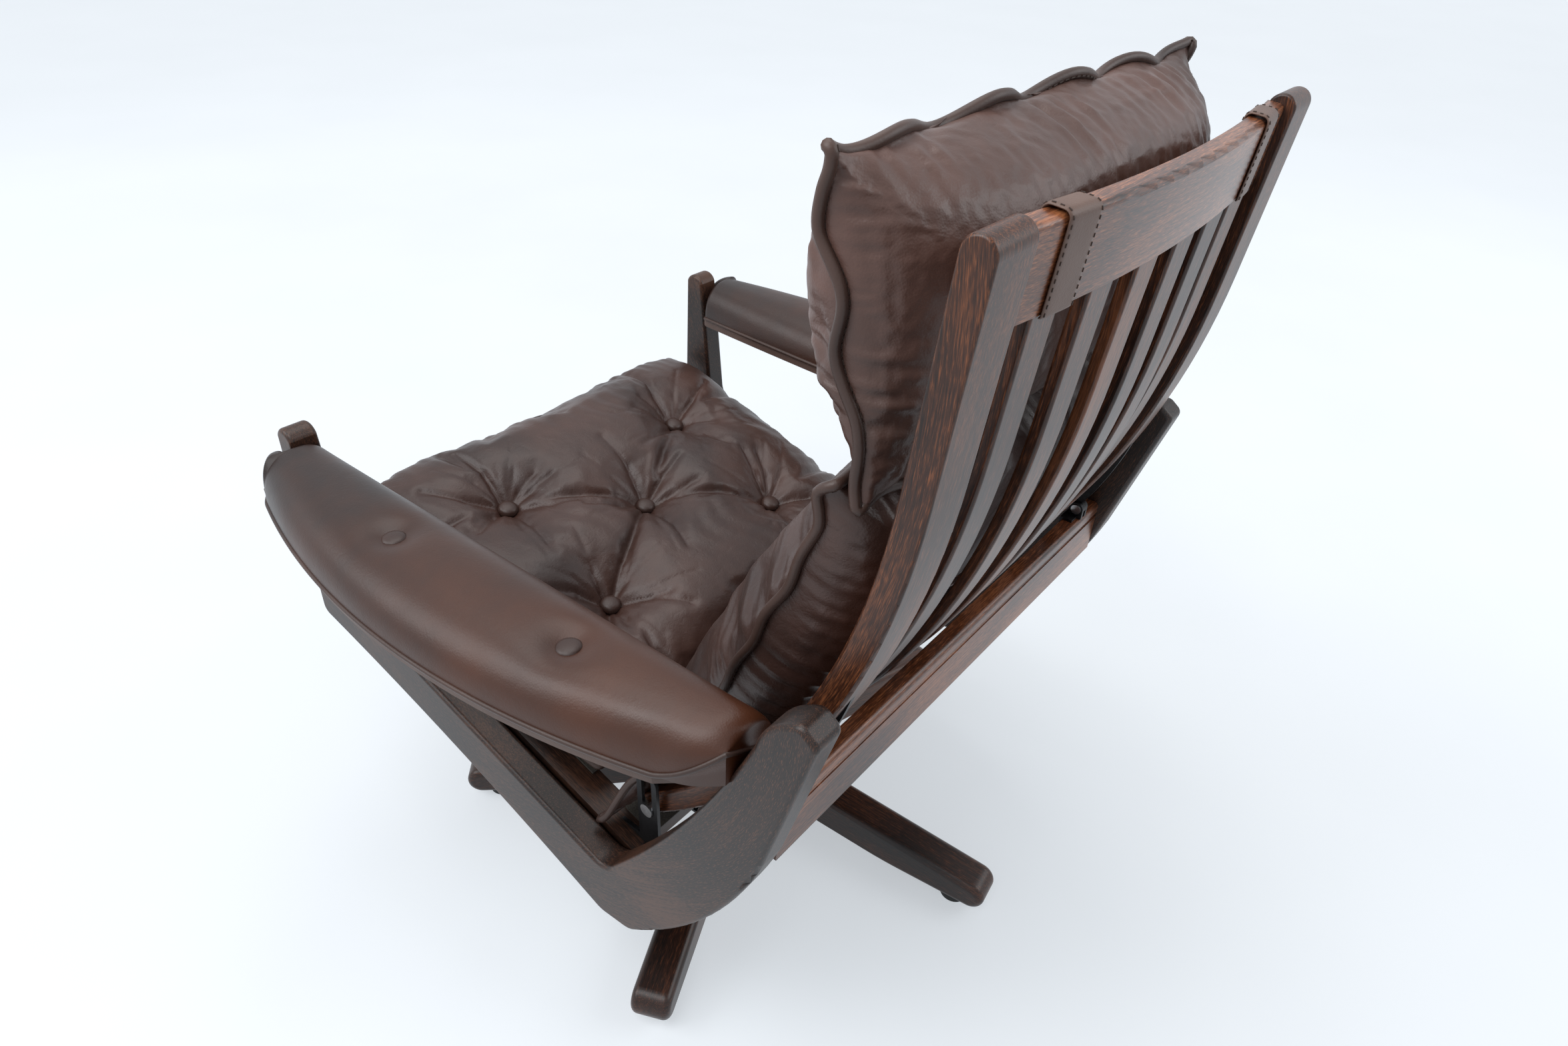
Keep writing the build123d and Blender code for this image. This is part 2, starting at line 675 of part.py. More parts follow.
with BuildPart() as arm_pad:
    with BuildSketch(Plane.XY.offset(pad_bottom)):
        add(pad_outline())
    extrude(amount=pad_crown)
    with BuildSketch(Plane.XZ.offset(-(pad_front - overrun))):
        with BuildLine():
            edge_z = pad_bottom + pad_edge
            Line((pad_inner - overrun, pad_bottom), (pad_inner - overrun, edge_z))
            ThreePointArc(
                (pad_inner - overrun, edge_z),
                (pad_inner + pad_width / 2, pad_bottom + pad_crown),
                (pad_right[0] + overrun, edge_z),
            )
            Line((pad_right[0] + overrun, edge_z), (pad_right[0] + overrun, pad_bottom))
            Line((pad_right[0] + overrun, pad_bottom), (pad_inner - overrun, pad_bottom))
        make_face()
    extrude(amount=-(pad_length + 2 * overrun), mode=Mode.INTERSECT)
    front_edges = arm_pad.edges().filter_by(Axis.Z)
    front_corner = (*pad_at(pad_side_front_share), pad_bottom)
    fillet(front_edges.sort_by_distance(front_corner)[0], radius=pad_edge)
    add(side_block.part, mode=Mode.SUBTRACT)
    for spot in pad_buttons:
        with Locations((*spot, pad_bottom + pad_button_seat + tuft_radius)):
            Sphere(tuft_radius, mode=Mode.SUBTRACT)
        with BuildSketch(Plane.XY.offset(pad_bottom + pad_button_seat - button_thick / 2)):
            with Locations(spot):
                Circle(pad_button_radius + fit_gap)
        extrude(amount=button_thick, mode=Mode.SUBTRACT)

with BuildPart() as left_buttons:
    with BuildSketch(Plane.XY.offset(pad_bottom + pad_button_seat - button_thick / 2)):
        with Locations(*pad_buttons):
            Circle(pad_button_radius)
    extrude(amount=button_thick)
    fillet(left_buttons.faces().sort_by(Axis.Z)[-2:].edges(), radius=button_thick / 3)

for side, sign in sides:
    for name, piece in (("arm_board", arm_board.part), ("arm_pad", arm_pad.part)):
        placed = piece if sign > 0 else mirror(piece, about=Plane.YZ)
        placed.label = f"{name}_{side}"
        export_step(placed, f"parts/{name}_{side}.step")

with BuildPart() as arm_buttons:
    add(left_buttons.part)
    mirror(about=Plane.YZ)
arm_buttons.part.label = "arm_buttons"
export_step(arm_buttons.part, "parts/arm_buttons.step")

# Back frame: curved stiles, bowed cross rails and slats
stile_inner = back_gap / 2
stile_middle = stile_inner + stile_width / 2
half_stile = stile_thick / 2
link_y, link_z = back_at(back_foot_angle - degrees(stile_thick * 0.55 / back_radius), half_stile)
blade_span = degrees(blade_length / back_radius)
blade_top = pivot_angle - blade_span
blade_foot = pivot_angle + blade_span * 0.08


def blade_root(extra):
    """Draw the part of a hinge blade that is let into a stile, grown by extra."""
    edge = half_stile + extra
    grow = degrees(extra / back_radius)
    low, high = blade_foot + grow, blade_top - grow
    with BuildLine() as outline:
        Line(back_at(high, 0.0), back_at(high, edge))
        ThreePointArc(back_at(high, edge), back_at((high + low) / 2, edge), back_at(low, edge))
        Line(back_at(low, edge), back_at(low, -eye_radius))
        ThreePointArc(
            back_at(low, -eye_radius), back_at((high + low) / 2, -eye_radius * 0.75), back_at(high, 0.0)
        )
    return make_face(outline.edges())


for side, sign in sides:
    with BuildPart() as stile:
        with BuildSketch(Plane.YZ.offset(sign * stile_middle)):
            with BuildLine():
                arc_middle = (back_foot_angle + back_lean) / 2
                straight = back_straight - half_stile
                ThreePointArc(back_at(back_foot_angle), back_at(arc_middle), back_at(back_lean))
                Line(back_at(back_lean), back_above(straight))
                ThreePointArc(
                    back_above(straight), back_above(back_straight, half_stile),
                    back_above(straight, stile_thick),
                )
                Line(back_above(straight, stile_thick), back_at(back_lean, stile_thick))
                ThreePointArc(
                    back_at(back_lean, stile_thick), back_at(arc_middle, stile_thick),
                    back_at(back_foot_angle, stile_thick),
                )
                Line(back_at(back_foot_angle, stile_thick), back_at(back_foot_angle))
            make_face()
        extrude(amount=stile_width / 2, both=True)
        fillet(stile.faces().filter_by(Axis.X).edges(), radius=post_edge_round / 2)
        with BuildSketch(Plane.YZ.offset(sign * hinge_half)):
            add(blade_root(fit_gap))
        extrude(amount=blade_thick / 2 + fit_gap, both=True, mode=Mode.SUBTRACT)
        with BuildSketch(Plane.YZ.offset(sign * stile_middle)):
            with Locations((link_y, link_z)):
                Circle(link_pin_radius + fit_gap)
        extrude(amount=sign * stile_width, mode=Mode.SUBTRACT)
    stile.part.label = f"back_stile_{side}"
    export_step(stile.part, f"parts/back_stile_{side}.step")

    with BuildPart() as blade:
        with BuildSketch(Plane.YZ.offset(sign * hinge_half)):
            add(blade_root(0.0))
            with Locations((pivot_y, pivot_z)):
                Circle(eye_radius)
                Circle(pin_radius + run_gap, mode=Mode.SUBTRACT)
        extrude(amount=blade_thick / 2, both=True)
    blade.part.label = f"recline_blade_{side}"
    export_step(blade.part, f"parts/recline_blade_{side}.step")

    with BuildPart() as bracket:
        ear_low = pivot_z - stretcher_top
        with BuildSketch(Plane.XY.offset(stretcher_top)):
            flange_reach = stretcher_thick * 0.65
            with Locations((sign * hinge_half, stretcher_front + (flange_reach - bracket_thick) / 2)):
                Rectangle(bracket_width, flange_reach + bracket_thick)
        extrude(amount=bracket_thick)
        with BuildSketch(Plane.XZ.offset(-stretcher_front)):
            with Locations((sign * hinge_half, stretcher_top + bracket_thick - bracket_drop / 2)):
                Rectangle(bracket_width, bracket_drop)
            for step in (-1, 1):
                with Locations((sign * (hinge_half + step * bracket_width / 3), bracket_screw_z)):
                    Circle(screw_radius + fit_gap, mode=Mode.SUBTRACT)
        extrude(amount=bracket_thick)
        for step in (-1, 1):
            ear_middle = sign * hinge_half + step * (blade_thick / 2 + joint_gap + ear_thick / 2)
            with BuildSketch(Plane.YZ.offset(ear_middle)):
                with Locations((pivot_y, pivot_z - ear_low / 2)):
                    Rectangle(eye_radius * 2, ear_low)
                with Locations((pivot_y, pivot_z)):
                    Circle(eye_radius)
                    Circle(pin_radius + fit_gap, mode=Mode.SUBTRACT)
            extrude(amount=ear_thick / 2, both=True)
    bracket.part.label = f"recline_bracket_{side}"
    export_step(bracket.part, f"parts/recline_bracket_{side}.step")

with BuildPart() as pivot_pins:
    for side, sign in sides:
        reach = blade_thick / 2 + joint_gap + ear_thick
        with BuildSketch(Plane.YZ.offset(sign * hinge_half)):
            with Locations((pivot_y, pivot_z)):
                Circle(pin_radius)
        extrude(amount=reach, both=True)
        for step in (-1, 1):
            with BuildSketch(Plane.YZ.offset(sign * hinge_half + step * reach)):
                with Locations((pivot_y, pivot_z)):
                    Circle(pin_radius * 1.5)
            extrude(amount=step * pin_radius / 2)
pivot_pins.part.label = "pivot_pins"
export_step(pivot_pins.part, "parts/pivot_pins.step")

with BuildPart() as link_pins:
    link_plate_out = rail_width / 2 + seat_side_air
    plate_x = side_inner - link_plate_out
    for side, sign in sides:
        head_start = plate_x + link_thick / 2 + joint_gap
        with BuildSketch(Plane.YZ.offset(sign * (stile_middle + link_pin_radius))):
            with Locations((link_y, link_z)):
                Circle(link_pin_radius)
        extrude(amount=sign * (head_start - stile_middle - link_pin_radius))
        with BuildSketch(Plane.YZ.offset(sign * head_start)):
            with Locations((link_y, link_z)):
                Circle(link_pin_radius * 2)
        extrude(amount=sign * link_pin_radius / 2)
link_pins.part.label = "link_pins"
export_step(link_pins.part, "parts/link_pins.step")

bow_radius = (stile_inner ** 2 + rail_bow ** 2) / (2 * rail_bow)


def bow_y(x, inset):
    """Place across the back, in a rail's own plane, of its bowed back face at x."""
    return sqrt((bow_radius + inset) ** 2 - x ** 2) - bow_radius + rail_bow - rail_recess


def bowed_board(plane, low_x, high_x, thick, depth, grow=0.0):
    """Make a board bowed in plan, its back face on the bow and its length along x."""
    middle_x = (low_x + high_x) / 2
    with BuildPart(mode=Mode.PRIVATE) as board:
        with BuildSketch(plane):
            with BuildLine():
                ThreePointArc(*[(x, bow_y(x, grow)) for x in (low_x, middle_x, high_x)])
                Line((high_x, bow_y(high_x, grow)), (high_x, bow_y(high_x, -thick - grow)))
                ThreePointArc(*[(x, bow_y(x, -thick - grow)) for x in (high_x, middle_x, low_x)])
                Line((low_x, bow_y(low_x, -thick - grow)), (low_x, bow_y(low_x, grow)))
            make_face()
        extrude(amount=depth)
    return board.part


lean = radians(back_lean)
up_back = (0, sin(lean), cos(lean))
top_rail_high = back_straight - top_rail_drop
top_rail_low = top_rail_high - top_rail_depth
top_plane = Plane((0, *back_above(top_rail_low)), x_dir=(1, 0, 0), z_dir=up_back)
with BuildPart() as top_rail:
    add(bowed_board(top_plane, -stile_inner, stile_inner, top_rail_thick, top_rail_depth))
    rail_top_edges = top_rail.faces().sort_by(Axis.Z)[-1].edges().sort_by(Axis.Y)
    fillet([rail_top_edges[0], rail_top_edges[-1]], radius=top_rail_thick / 3)
top_rail.part.label = "top_rail"
export_step(top_rail.part, "parts/top_rail.step")

foot_rail_angle = back_foot_angle - degrees(bottom_rail_depth / back_radius)
foot_lean = radians(foot_rail_angle)
foot_up = (0, sin(foot_lean), cos(foot_lean))
foot_plane = Plane((0, *back_at(foot_rail_angle)), x_dir=(1, 0, 0), z_dir=foot_up)
with BuildPart() as bottom_rail:
    add(bowed_board(
        foot_plane, -stile_inner, stile_inner, stile_thick - rail_recess, -bottom_rail_depth * 0.9
    ))
bottom_rail.part.label = "bottom_rail"
export_step(bottom_rail.part, "parts/bottom_rail.step")

for number in range(slat_count):
    slat_x = (number - (slat_count - 1) / 2) * slat_pitch
    slat_back = -bow_y(slat_x, 0.0) + rail_bow_inset
    slat_front = slat_back + slat_thick
    slat_middle = (foot_rail_angle + back_lean) / 2
    with BuildPart() as slat:
        with BuildSketch(Plane.YZ.offset(slat_x)):
            with BuildLine():
                ThreePointArc(
                    back_at(foot_rail_angle, slat_back), back_at(slat_middle, slat_back),
                    back_at(back_lean, slat_back),
                )
                Line(back_at(back_lean, slat_back), back_above(top_rail_low, slat_back))
                Line(back_above(top_rail_low, slat_back), back_above(top_rail_low, slat_front))
                Line(back_above(top_rail_low, slat_front), back_at(back_lean, slat_front))
                ThreePointArc(
                    back_at(back_lean, slat_front), back_at(slat_middle, slat_front),
                    back_at(foot_rail_angle, slat_front),
                )
                Line(back_at(foot_rail_angle, slat_front), back_at(foot_rail_angle, slat_back))
            make_face()
        extrude(amount=slat_width / 2, both=True)
        slat_sides = slat.faces().filter_by(Axis.X).edges()
        fillet([e for e in slat_sides if e.length > slat_width], radius=slat_thick / 4)
    slat.part.label = f"back_slat_{number + 1}"
    export_step(slat.part, f"parts/back_slat_{number + 1}.step")

# Leather straps hooked over the top rail and under its back edge; their fronts lie on the
# head cushion, and the slats run up in front of their lower ends
strap_front = stile_thick + joint_gap - rail_recess - strap_thick
strap_plane = Plane(
    (0, *back_above(top_rail_low - fit_gap - strap_thick)), x_dir=(1, 0, 0), z_dir=up_back
)
rail_hollow = Plane((0, *back_above(top_rail_low - fit_gap)), x_dir=(1, 0, 0), z_dir=up_back)


def strap_loop(plane, low_x, high_x, grow, front, depth):
    """Make one block of a strap: bowed behind like the rail, flat in front."""
    middle_x = (low_x + high_x) / 2
    with BuildPart(mode=Mode.PRIVATE) as loop:
        with BuildSketch(plane):
            with BuildLine():
                ThreePointArc(*[(x, bow_y(x, grow)) for x in (low_x, middle_x, high_x)])
                Line((high_x, bow_y(high_x, grow)), (high_x, -front))
                Line((high_x, -front), (low_x, -front))
                Line((low_x, -front), (low_x, bow_y(low_x, grow)))
            make_face()
        extrude(amount=depth)
    return loop.part


for side, sign in sides:
    low_x = sign * strap_x - strap_width / 2
    high_x = low_x + strap_width
    hollow_depth = top_rail_depth + 2 * fit_gap
    strap_reach = strap_thick + fit_gap
    strap_face = strap_front + rail_recess + strap_thick
    with BuildPart() as strap:
        add(strap_loop(
            strap_plane, low_x, high_x, strap_reach, strap_face, hollow_depth + 2 * strap_thick
        ))
        add(strap_loop(
            rail_hollow, low_x - overrun, high_x + overrun, fit_gap,
            strap_face - strap_thick, hollow_depth,
        ), mode=Mode.SUBTRACT)
        add(strap_loop(
            strap_plane, low_x - overrun, high_x + overrun, -rail_bow_inset * 0.4,
            strap_face + overrun, strap_thick,
        ), mode=Mode.SUBTRACT)
    strap.part.label = f"strap_{side}"
    export_step(strap.part, f"parts/strap_{side}.step")

# Seat frame, sliding as one on the runners
rail_low = -(webbing_thick + rail_depth)
seat_half = side_inner - seat_side_air
seat_length = seat_front + seat_rear
slot_half = link_pin_radius + slot_air
slot_low = link_z
slot_high = link_z + link_travel

for side, sign in sides:
    with BuildPart() as seat_rail:
        with BuildSketch(deck.offset(rail_low)):
            with Locations((sign * (seat_half - rail_width / 2), (seat_rear - seat_front) / 2)):
                Rectangle(rail_width, seat_length)
        extrude(amount=rail_depth)
        with BuildSketch(deck.offset(rail_low)):
            with Locations((sign * plate_x, seat_rear - rail_width / 2)):
                Rectangle(link_thick + 2 * fit_gap, rail_width)
        extrude(amount=rail_depth, mode=Mode.SUBTRACT)
    seat_rail.part.label = f"seat_rail_{side}"
    export_step(seat_rail.part, f"parts/seat_rail_{side}.step")

    with BuildPart() as link_plate:
        with BuildSketch(Plane.YZ.offset(sign * plate_x)):
            with BuildLine():
                foot_front = on_deck(seat_rear - rail_width, rail_low)
                foot_back = on_deck(seat_rear, rail_low)
                root_back = (link_y + slot_half * 2, on_deck(seat_rear, -webbing_thick)[1])
                root_front = on_deck(seat_rear - rail_width, -webbing_thick)
                shoulder = (link_y - slot_half * 2, root_front[1])
                Polyline(
                    foot_front, foot_back, root_back, (root_back[0], slot_high),
                    (shoulder[0], slot_high), shoulder, root_front, close=True,
                )
            make_face()
            with Locations((link_y, slot_high)):
                Circle(slot_half * 2)
            with Locations((link_y, (slot_low + slot_high) / 2)):
                SlotCenterToCenter(
                    slot_high - slot_low, slot_half * 2, rotation=90, mode=Mode.SUBTRACT
                )
        extrude(amount=link_thick / 2, both=True)
    link_plate.part.label = f"link_plate_{side}"
    export_step(link_plate.part, f"parts/link_plate_{side}.step")

cross_half = seat_half - rail_width
for name, place in (("front", -seat_front), ("rear", seat_rear - rail_width)):
    with BuildPart() as cross_rail:
        with BuildSketch(deck.offset(rail_low)):
            with Locations((0, place + rail_width / 2)):
                Rectangle(2 * cross_half, rail_width)
        extrude(amount=rail_depth)
    cross_rail.part.label = f"seat_{name}_rail"
    export_step(cross_rail.part, f"parts/seat_{name}_rail.step")

with BuildPart() as seat_webbing:
    web_span = seat_length - webbing_width
    for number in range(webbing_count):
        web_place = number / (webbing_count - 1) * web_span + webbing_width / 2 - seat_front
        with BuildSketch(deck.offset(-webbing_thick)):
            with Locations((0, web_place)):
                Rectangle(2 * (cross_half + rail_width * 0.25), webbing_width)
        extrude(amount=webbing_thick)
seat_webbing.part.label = "seat_webbing"
export_step(seat_webbing.part, "parts/seat_webbing.step")

# Seat cushion: drawn-in sides, crowned top, sunk buttons and the folds between them
seat_cushion_half = side_inner - seat_cushion_air
cushion_middle = -(seat_cushion_rear + seat_cushion_length / 2)
cushion_level_shares = (
    (0.00, 0.040), (0.14, 0.006), (0.47, 0.000), (0.70, 0.030), (0.86, 0.085), (0.96, 0.170),
    (1.00, 0.290),
)
button_spot_shares = [(0.0, 0.0)] + [(x, u) for x in (-0.5, 0.5) for u in (-0.5, 0.5)]
buttons_at = [(x * button_spread, u * button_row_spread + cushion_middle) for x, u in button_spot_shares]
button_seat = seat_cushion_rise - tuft_depth - button_thick

with BuildPart() as seat_cushion:
    for rise_share, inset_share in cushion_level_shares:
        with BuildSketch(deck.offset(rise_share * seat_cushion_rise)):
            with Locations((0, cushion_middle)):
                inset = inset_share * seat_cushion_length
                RectangleRounded(
                    2 * (seat_cushion_half - inset), seat_cushion_length - 2 * inset,
                    radius=seat_cushion_rise / 3 + inset * 0.4,
                )
    loft()
    with BuildSketch(deck):
        with Locations((0, cushion_middle)):
            Rectangle(2 * seat_cushion_half, seat_cushion_length)
    extrude(amount=-overrun, mode=Mode.SUBTRACT)
    for spot in buttons_at:
        centre = deck.from_local_coords((*spot, button_seat + tuft_radius))
        with Locations(centre):
            Sphere(tuft_radius, mode=Mode.SUBTRACT)
    for spot in buttons_at[1:]:
        start = deck.from_local_coords((*buttons_at[0], seat_cushion_rise + crease_depth))
        end = deck.from_local_coords((*spot, seat_cushion_rise + crease_depth))
        crease_plane = Plane(start, z_dir=end - start)
        with BuildSketch(crease_plane):
            Circle(crease_radius)
        extrude(amount=(end - start).length, mode=Mode.SUBTRACT)
    with BuildSketch(deck.offset(button_seat - button_thick / 2)):
        with Locations(*buttons_at):
            Circle(button_radius + fit_gap)
    extrude(amount=button_thick, mode=Mode.SUBTRACT)
seat_cushion.part.label = "seat_cushion"
export_step(seat_cushion.part, "parts/seat_cushion.step")

with BuildPart() as seat_buttons:
    with BuildSketch(deck.offset(button_seat - button_thick / 2)):
        with Locations(*buttons_at):
            Circle(button_radius)
    extrude(amount=button_thick)
    fillet(
        [e for e in seat_buttons.edges() if deck.to_local_coords(e.center()).Z > button_seat],
        radius=button_thick / 3,
    )
seat_buttons.part.label = "seat_buttons"
export_step(seat_buttons.part, "parts/seat_buttons.step")

# Back cushions: closed outlines in the side view, drawn in towards their ends. Each point is
# a share of the cushion's angle along the back curve, downwards, and of its thickness forwards.
lumbar_middle_shares = [
    (0.042, 0.160), (0.012, 0.314), (0.003, 0.514), (0.027, 0.688), (0.100, 0.790),
    (0.178, 0.900), (0.281, 1.010), (0.399, 1.070), (0.522, 1.060), (0.641, 0.940),
    (0.770, 0.760), (0.892, 0.547), (0.949, 0.405), (0.985, 0.262), (0.994, 0.136),
    (0.975, 0.100), (0.900, 0.150), (0.500, 0.150),
]
lumbar_end_shares = [
    (0.054, 0.184), (0.015, 0.392), (-0.009, 0.520), (0.021, 0.627), (0.068, 0.600),
    (0.148, 0.620), (0.245, 0.648), (0.320, 0.667), (0.404, 0.663), (0.541, 0.611),
    (0.674, 0.568), (0.818, 0.426), (0.914, 0.289), (0.972, 0.202), (1.000, 0.130),
    (0.975, 0.100), (0.900, 0.150), (0.500, 0.150),
]
head_middle_shares = [
    (0.700, 0.125), (0.519, 0.125), (0.277, 0.125), (0.111, 0.199), (0.002, 0.526),
    (0.076, 0.798), (0.407, 0.984), (0.674, 0.937), (0.897, 0.729), (1.003, 0.441),
    (0.973, 0.225), (0.850, 0.135),
]
head_end_shares = [
    (0.700, 0.125), (0.519, 0.125), (0.277, 0.160), (0.090, 0.280), (-0.038, 0.540),
    (0.060, 0.640), (0.407, 0.680), (0.674, 0.620), (0.880, 0.500), (1.000, 0.330),
    (0.973, 0.215), (0.850, 0.135),
]


def back_ring(shares, top, span, thick):
    """Draw a closed outline through the shares, one arc over every second point."""
    spots = [back_at(top + a * span, t * thick) for a, t in shares]
    spots.append(spots[0])
    with BuildLine() as ring:
        for first in range(0, len(shares), 2):
            ThreePointArc(*spots[first:first + 3])
    return make_face(ring.edges())


with BuildPart() as behind_cushions:
    with BuildSketch(Plane.YZ.offset(-back_cushion_half - overrun)):
        with BuildLine():
            near = stile_thick + joint_gap
            far = -lumbar_thick
            ThreePointArc(
                back_at(back_foot_angle + back_lean, near), back_at(arc_middle, near),
                back_at(back_lean, near),
            )
            Line(back_at(back_lean, near), back_above(back_straight * 1.5, near))
            Line(back_above(back_straight * 1.5, near), back_above(back_straight * 1.5, far))
            Line(back_above(back_straight * 1.5, far), back_at(back_foot_angle + back_lean, far))
            Line(back_at(back_foot_angle + back_lean, far), back_at(back_foot_angle + back_lean, near))
        make_face()
    extrude(amount=2 * (back_cushion_half + overrun))

cushion_station_shares = ((-1.00, False), (-0.86, True), (0.86, True), (1.00, False))
cushions = (
    ("lumbar_cushion", lumbar_middle_shares, lumbar_end_shares,
     lumbar_top_angle, lumbar_span_angle, lumbar_thick),
    ("head_cushion", head_middle_shares, head_end_shares,
     head_top_angle, head_span_angle, head_thick),
)
for name, middle_shares, end_shares, top, span, thick in cushions:
    with BuildPart() as cushion:
        for station, full in cushion_station_shares:
            with BuildSketch(Plane.YZ.offset(station * back_cushion_half)):
                add(back_ring(middle_shares if full else end_shares, top, span, thick))
        loft(ruled=True)
        add(behind_cushions.part, mode=Mode.SUBTRACT)
    cushion.part.label = name
    export_step(cushion.part, f"parts/{name}.step")
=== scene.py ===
from math import atan2, cos, degrees, hypot, pi, radians, sin, sqrt
import bpy
import numpy as np
from mathutils import Matrix, Vector


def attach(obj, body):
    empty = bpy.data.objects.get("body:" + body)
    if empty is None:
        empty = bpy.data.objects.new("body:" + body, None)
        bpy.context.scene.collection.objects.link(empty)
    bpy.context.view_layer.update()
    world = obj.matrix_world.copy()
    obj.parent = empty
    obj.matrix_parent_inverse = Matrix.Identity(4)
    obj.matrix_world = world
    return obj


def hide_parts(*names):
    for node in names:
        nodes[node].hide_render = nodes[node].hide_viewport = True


# Swivel recliner, dressed: stained wood, brown leather cushions, piping, buttons and stitches.
# Lengths are in metres in the part's own frame.

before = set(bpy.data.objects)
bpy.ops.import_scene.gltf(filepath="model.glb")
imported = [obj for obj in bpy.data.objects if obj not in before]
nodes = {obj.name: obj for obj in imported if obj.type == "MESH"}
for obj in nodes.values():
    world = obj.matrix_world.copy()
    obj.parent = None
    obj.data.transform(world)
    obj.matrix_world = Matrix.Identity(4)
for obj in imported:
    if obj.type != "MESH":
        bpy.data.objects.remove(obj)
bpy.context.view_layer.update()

# What the soft pieces follow: the tilted seat deck, the curve of the back and the arm boards.
# The back's angles are degrees below level at the curve's centre, and above BACK_LEAN it is straight.
MM = 0.001
DECK_ORIGIN = Vector((0.0, 0.07130, 0.25788))
DECK_TILT = radians(16)
DECK_DOWN = np.array((0.0, cos(DECK_TILT), -sin(DECK_TILT)))
DECK_UP = np.array((0.0, sin(DECK_TILT), cos(DECK_TILT)))
BACK_CENTRE = (-0.35786, 0.85528)
BACK_RADIUS = 0.752
BACK_LEAN = 5.7
BACK_FOOT = 49.5
ARM_TOP = 0.506


def on_deck(x, u, w):
    """Point over the seat deck: across, down the slope to the back, and square off it."""
    y = DECK_ORIGIN.y + u * cos(DECK_TILT) + w * sin(DECK_TILT)
    z = DECK_ORIGIN.z - u * sin(DECK_TILT) + w * cos(DECK_TILT)
    return np.array((x, y, z))


def on_back(x, angle, inset):
    """Point by the back curve, at an angle down it and an inset forward of its rear face."""
    radius = BACK_RADIUS - inset
    turn = radians(angle)
    return np.array((x, BACK_CENTRE[0] + radius * cos(turn), BACK_CENTRE[1] - radius * sin(turn)))


# Shader building blocks

def new_shader(name, rough, coat=0.0, metal=0.0):
    """A material with its tree and shader, the shader's constants set on its own sockets."""
    material = bpy.data.materials.new(name)
    material.use_nodes = True
    tree = material.node_tree
    shader = tree.nodes["Principled BSDF"]
    shader.inputs["Roughness"].default_value = rough
    shader.inputs["Metallic"].default_value = metal
    shader.inputs["Coat Weight"].default_value = coat
    shader.inputs["Coat Roughness"].default_value = 0.25
    return material, tree, shader


def calc(tree, kind, first, second=None):
    """One math node on sockets or numbers; returns its output."""
    node = tree.nodes.new("ShaderNodeMath")
    node.operation = kind
    for place, value in enumerate((first, second)):
        if value is None:
            continue
        if isinstance(value, (int, float)):
            node.inputs[place].default_value = value
        else:
            tree.links.new(value, node.inputs[place])
    return node.outputs[0]


def clamp(tree, value):
    """A value held between zero and one."""
    return calc(tree, "MINIMUM", calc(tree, "MAXIMUM", value, 0.0), 1.0)


def weighted(tree, *parts):
    """The sum of values, each times its weight."""
    shares = [calc(tree, "MULTIPLY", value, weight) for value, weight in parts]
    total = shares[0]
    for share in shares[1:]:
        total = calc(tree, "ADD", total, share)
    return total


def own_place(tree):
    """The object's own coordinates."""
    return tree.nodes.new("ShaderNodeTexCoord").outputs["Object"]


def own_axes(tree):
    """The object's own coordinates as three values."""
    split = tree.nodes.new("ShaderNodeSeparateXYZ")
    tree.links.new(own_place(tree), split.inputs[0])
    return split.outputs


def noise(tree, vector, scale, detail=3.0, rough=0.55):
    """One noise texture on a vector; returns its value."""
    node = tree.nodes.new("ShaderNodeTexNoise")
    node.inputs["Scale"].default_value = scale
    node.inputs["Detail"].default_value = detail
    node.inputs["Roughness"].default_value = rough
    tree.links.new(vector, node.inputs["Vector"])
    return node.outputs["Fac"]


def grain_noise(tree, vector, along, across, detail, rough=0.55):
    """Noise on grain coordinates, with one scale along the grain and one across it."""
    node = tree.nodes.new("ShaderNodeVectorMath")
    node.operation = "MULTIPLY"
    node.inputs[1].default_value = (along, across, across)
    tree.links.new(vector, node.inputs[0])
    return noise(tree, node.outputs[0], 1.0, detail, rough)


def colour(tree, shader, value, stops):
    """Colour the shader by a value, through a ramp of (place, colour) stops."""
    node = tree.nodes.new("ShaderNodeValToRGB")
    elements = node.color_ramp.elements
    while len(elements) < len(stops):
        elements.new(0.5)
    for element, (place, shade) in zip(elements, stops):
        element.position = place
        element.color = (*shade, 1.0)
    tree.links.new(value, node.inputs[0])
    tree.links.new(node.outputs[0], shader.inputs["Base Color"])


def bump(tree, shader, height, strength, distance):
    """Add one bump to the shader's normal."""
    node = tree.nodes.new("ShaderNodeBump")
    node.inputs["Strength"].default_value = strength
    node.inputs["Distance"].default_value = distance
    tree.links.new(height, node.inputs["Height"])
    tree.links.new(node.outputs[0], shader.inputs["Normal"])


# Materials

def grain_vector(tree, grain):
    """Coordinates along and across the grain: grain is a direction, or the centre of a curve."""
    if len(grain) == 2:
        x, y, z = own_axes(tree)
        across = calc(tree, "SUBTRACT", y, grain[0])
        upward = calc(tree, "SUBTRACT", z, grain[1])
        turn = calc(tree, "ARCTAN2", upward, across)
        squares = [calc(tree, "MULTIPLY", value, value) for value in (across, upward)]
        parts = (calc(tree, "MULTIPLY", turn, 0.6), calc(tree, "SQRT", calc(tree, "ADD", *squares)), x)
    else:
        place = own_place(tree)
        along = Vector(grain).normalized()
        side = along.orthogonal().normalized()
        parts = []
        for way in (along, side, along.cross(side)):
            node = tree.nodes.new("ShaderNodeVectorMath")
            node.operation = "DOT_PRODUCT"
            node.inputs[1].default_value = way
            tree.links.new(place, node.inputs[0])
            parts.append(node.outputs["Value"])
    join = tree.nodes.new("ShaderNodeCombineXYZ")
    for socket, value in zip(join.inputs, parts):
        tree.links.new(value, socket)
    return join.outputs[0]


# Height above which the front posts' heads get a painted warm glow, standing in for light falling on them.
PAINTED_GLOW_FROM = 0.520


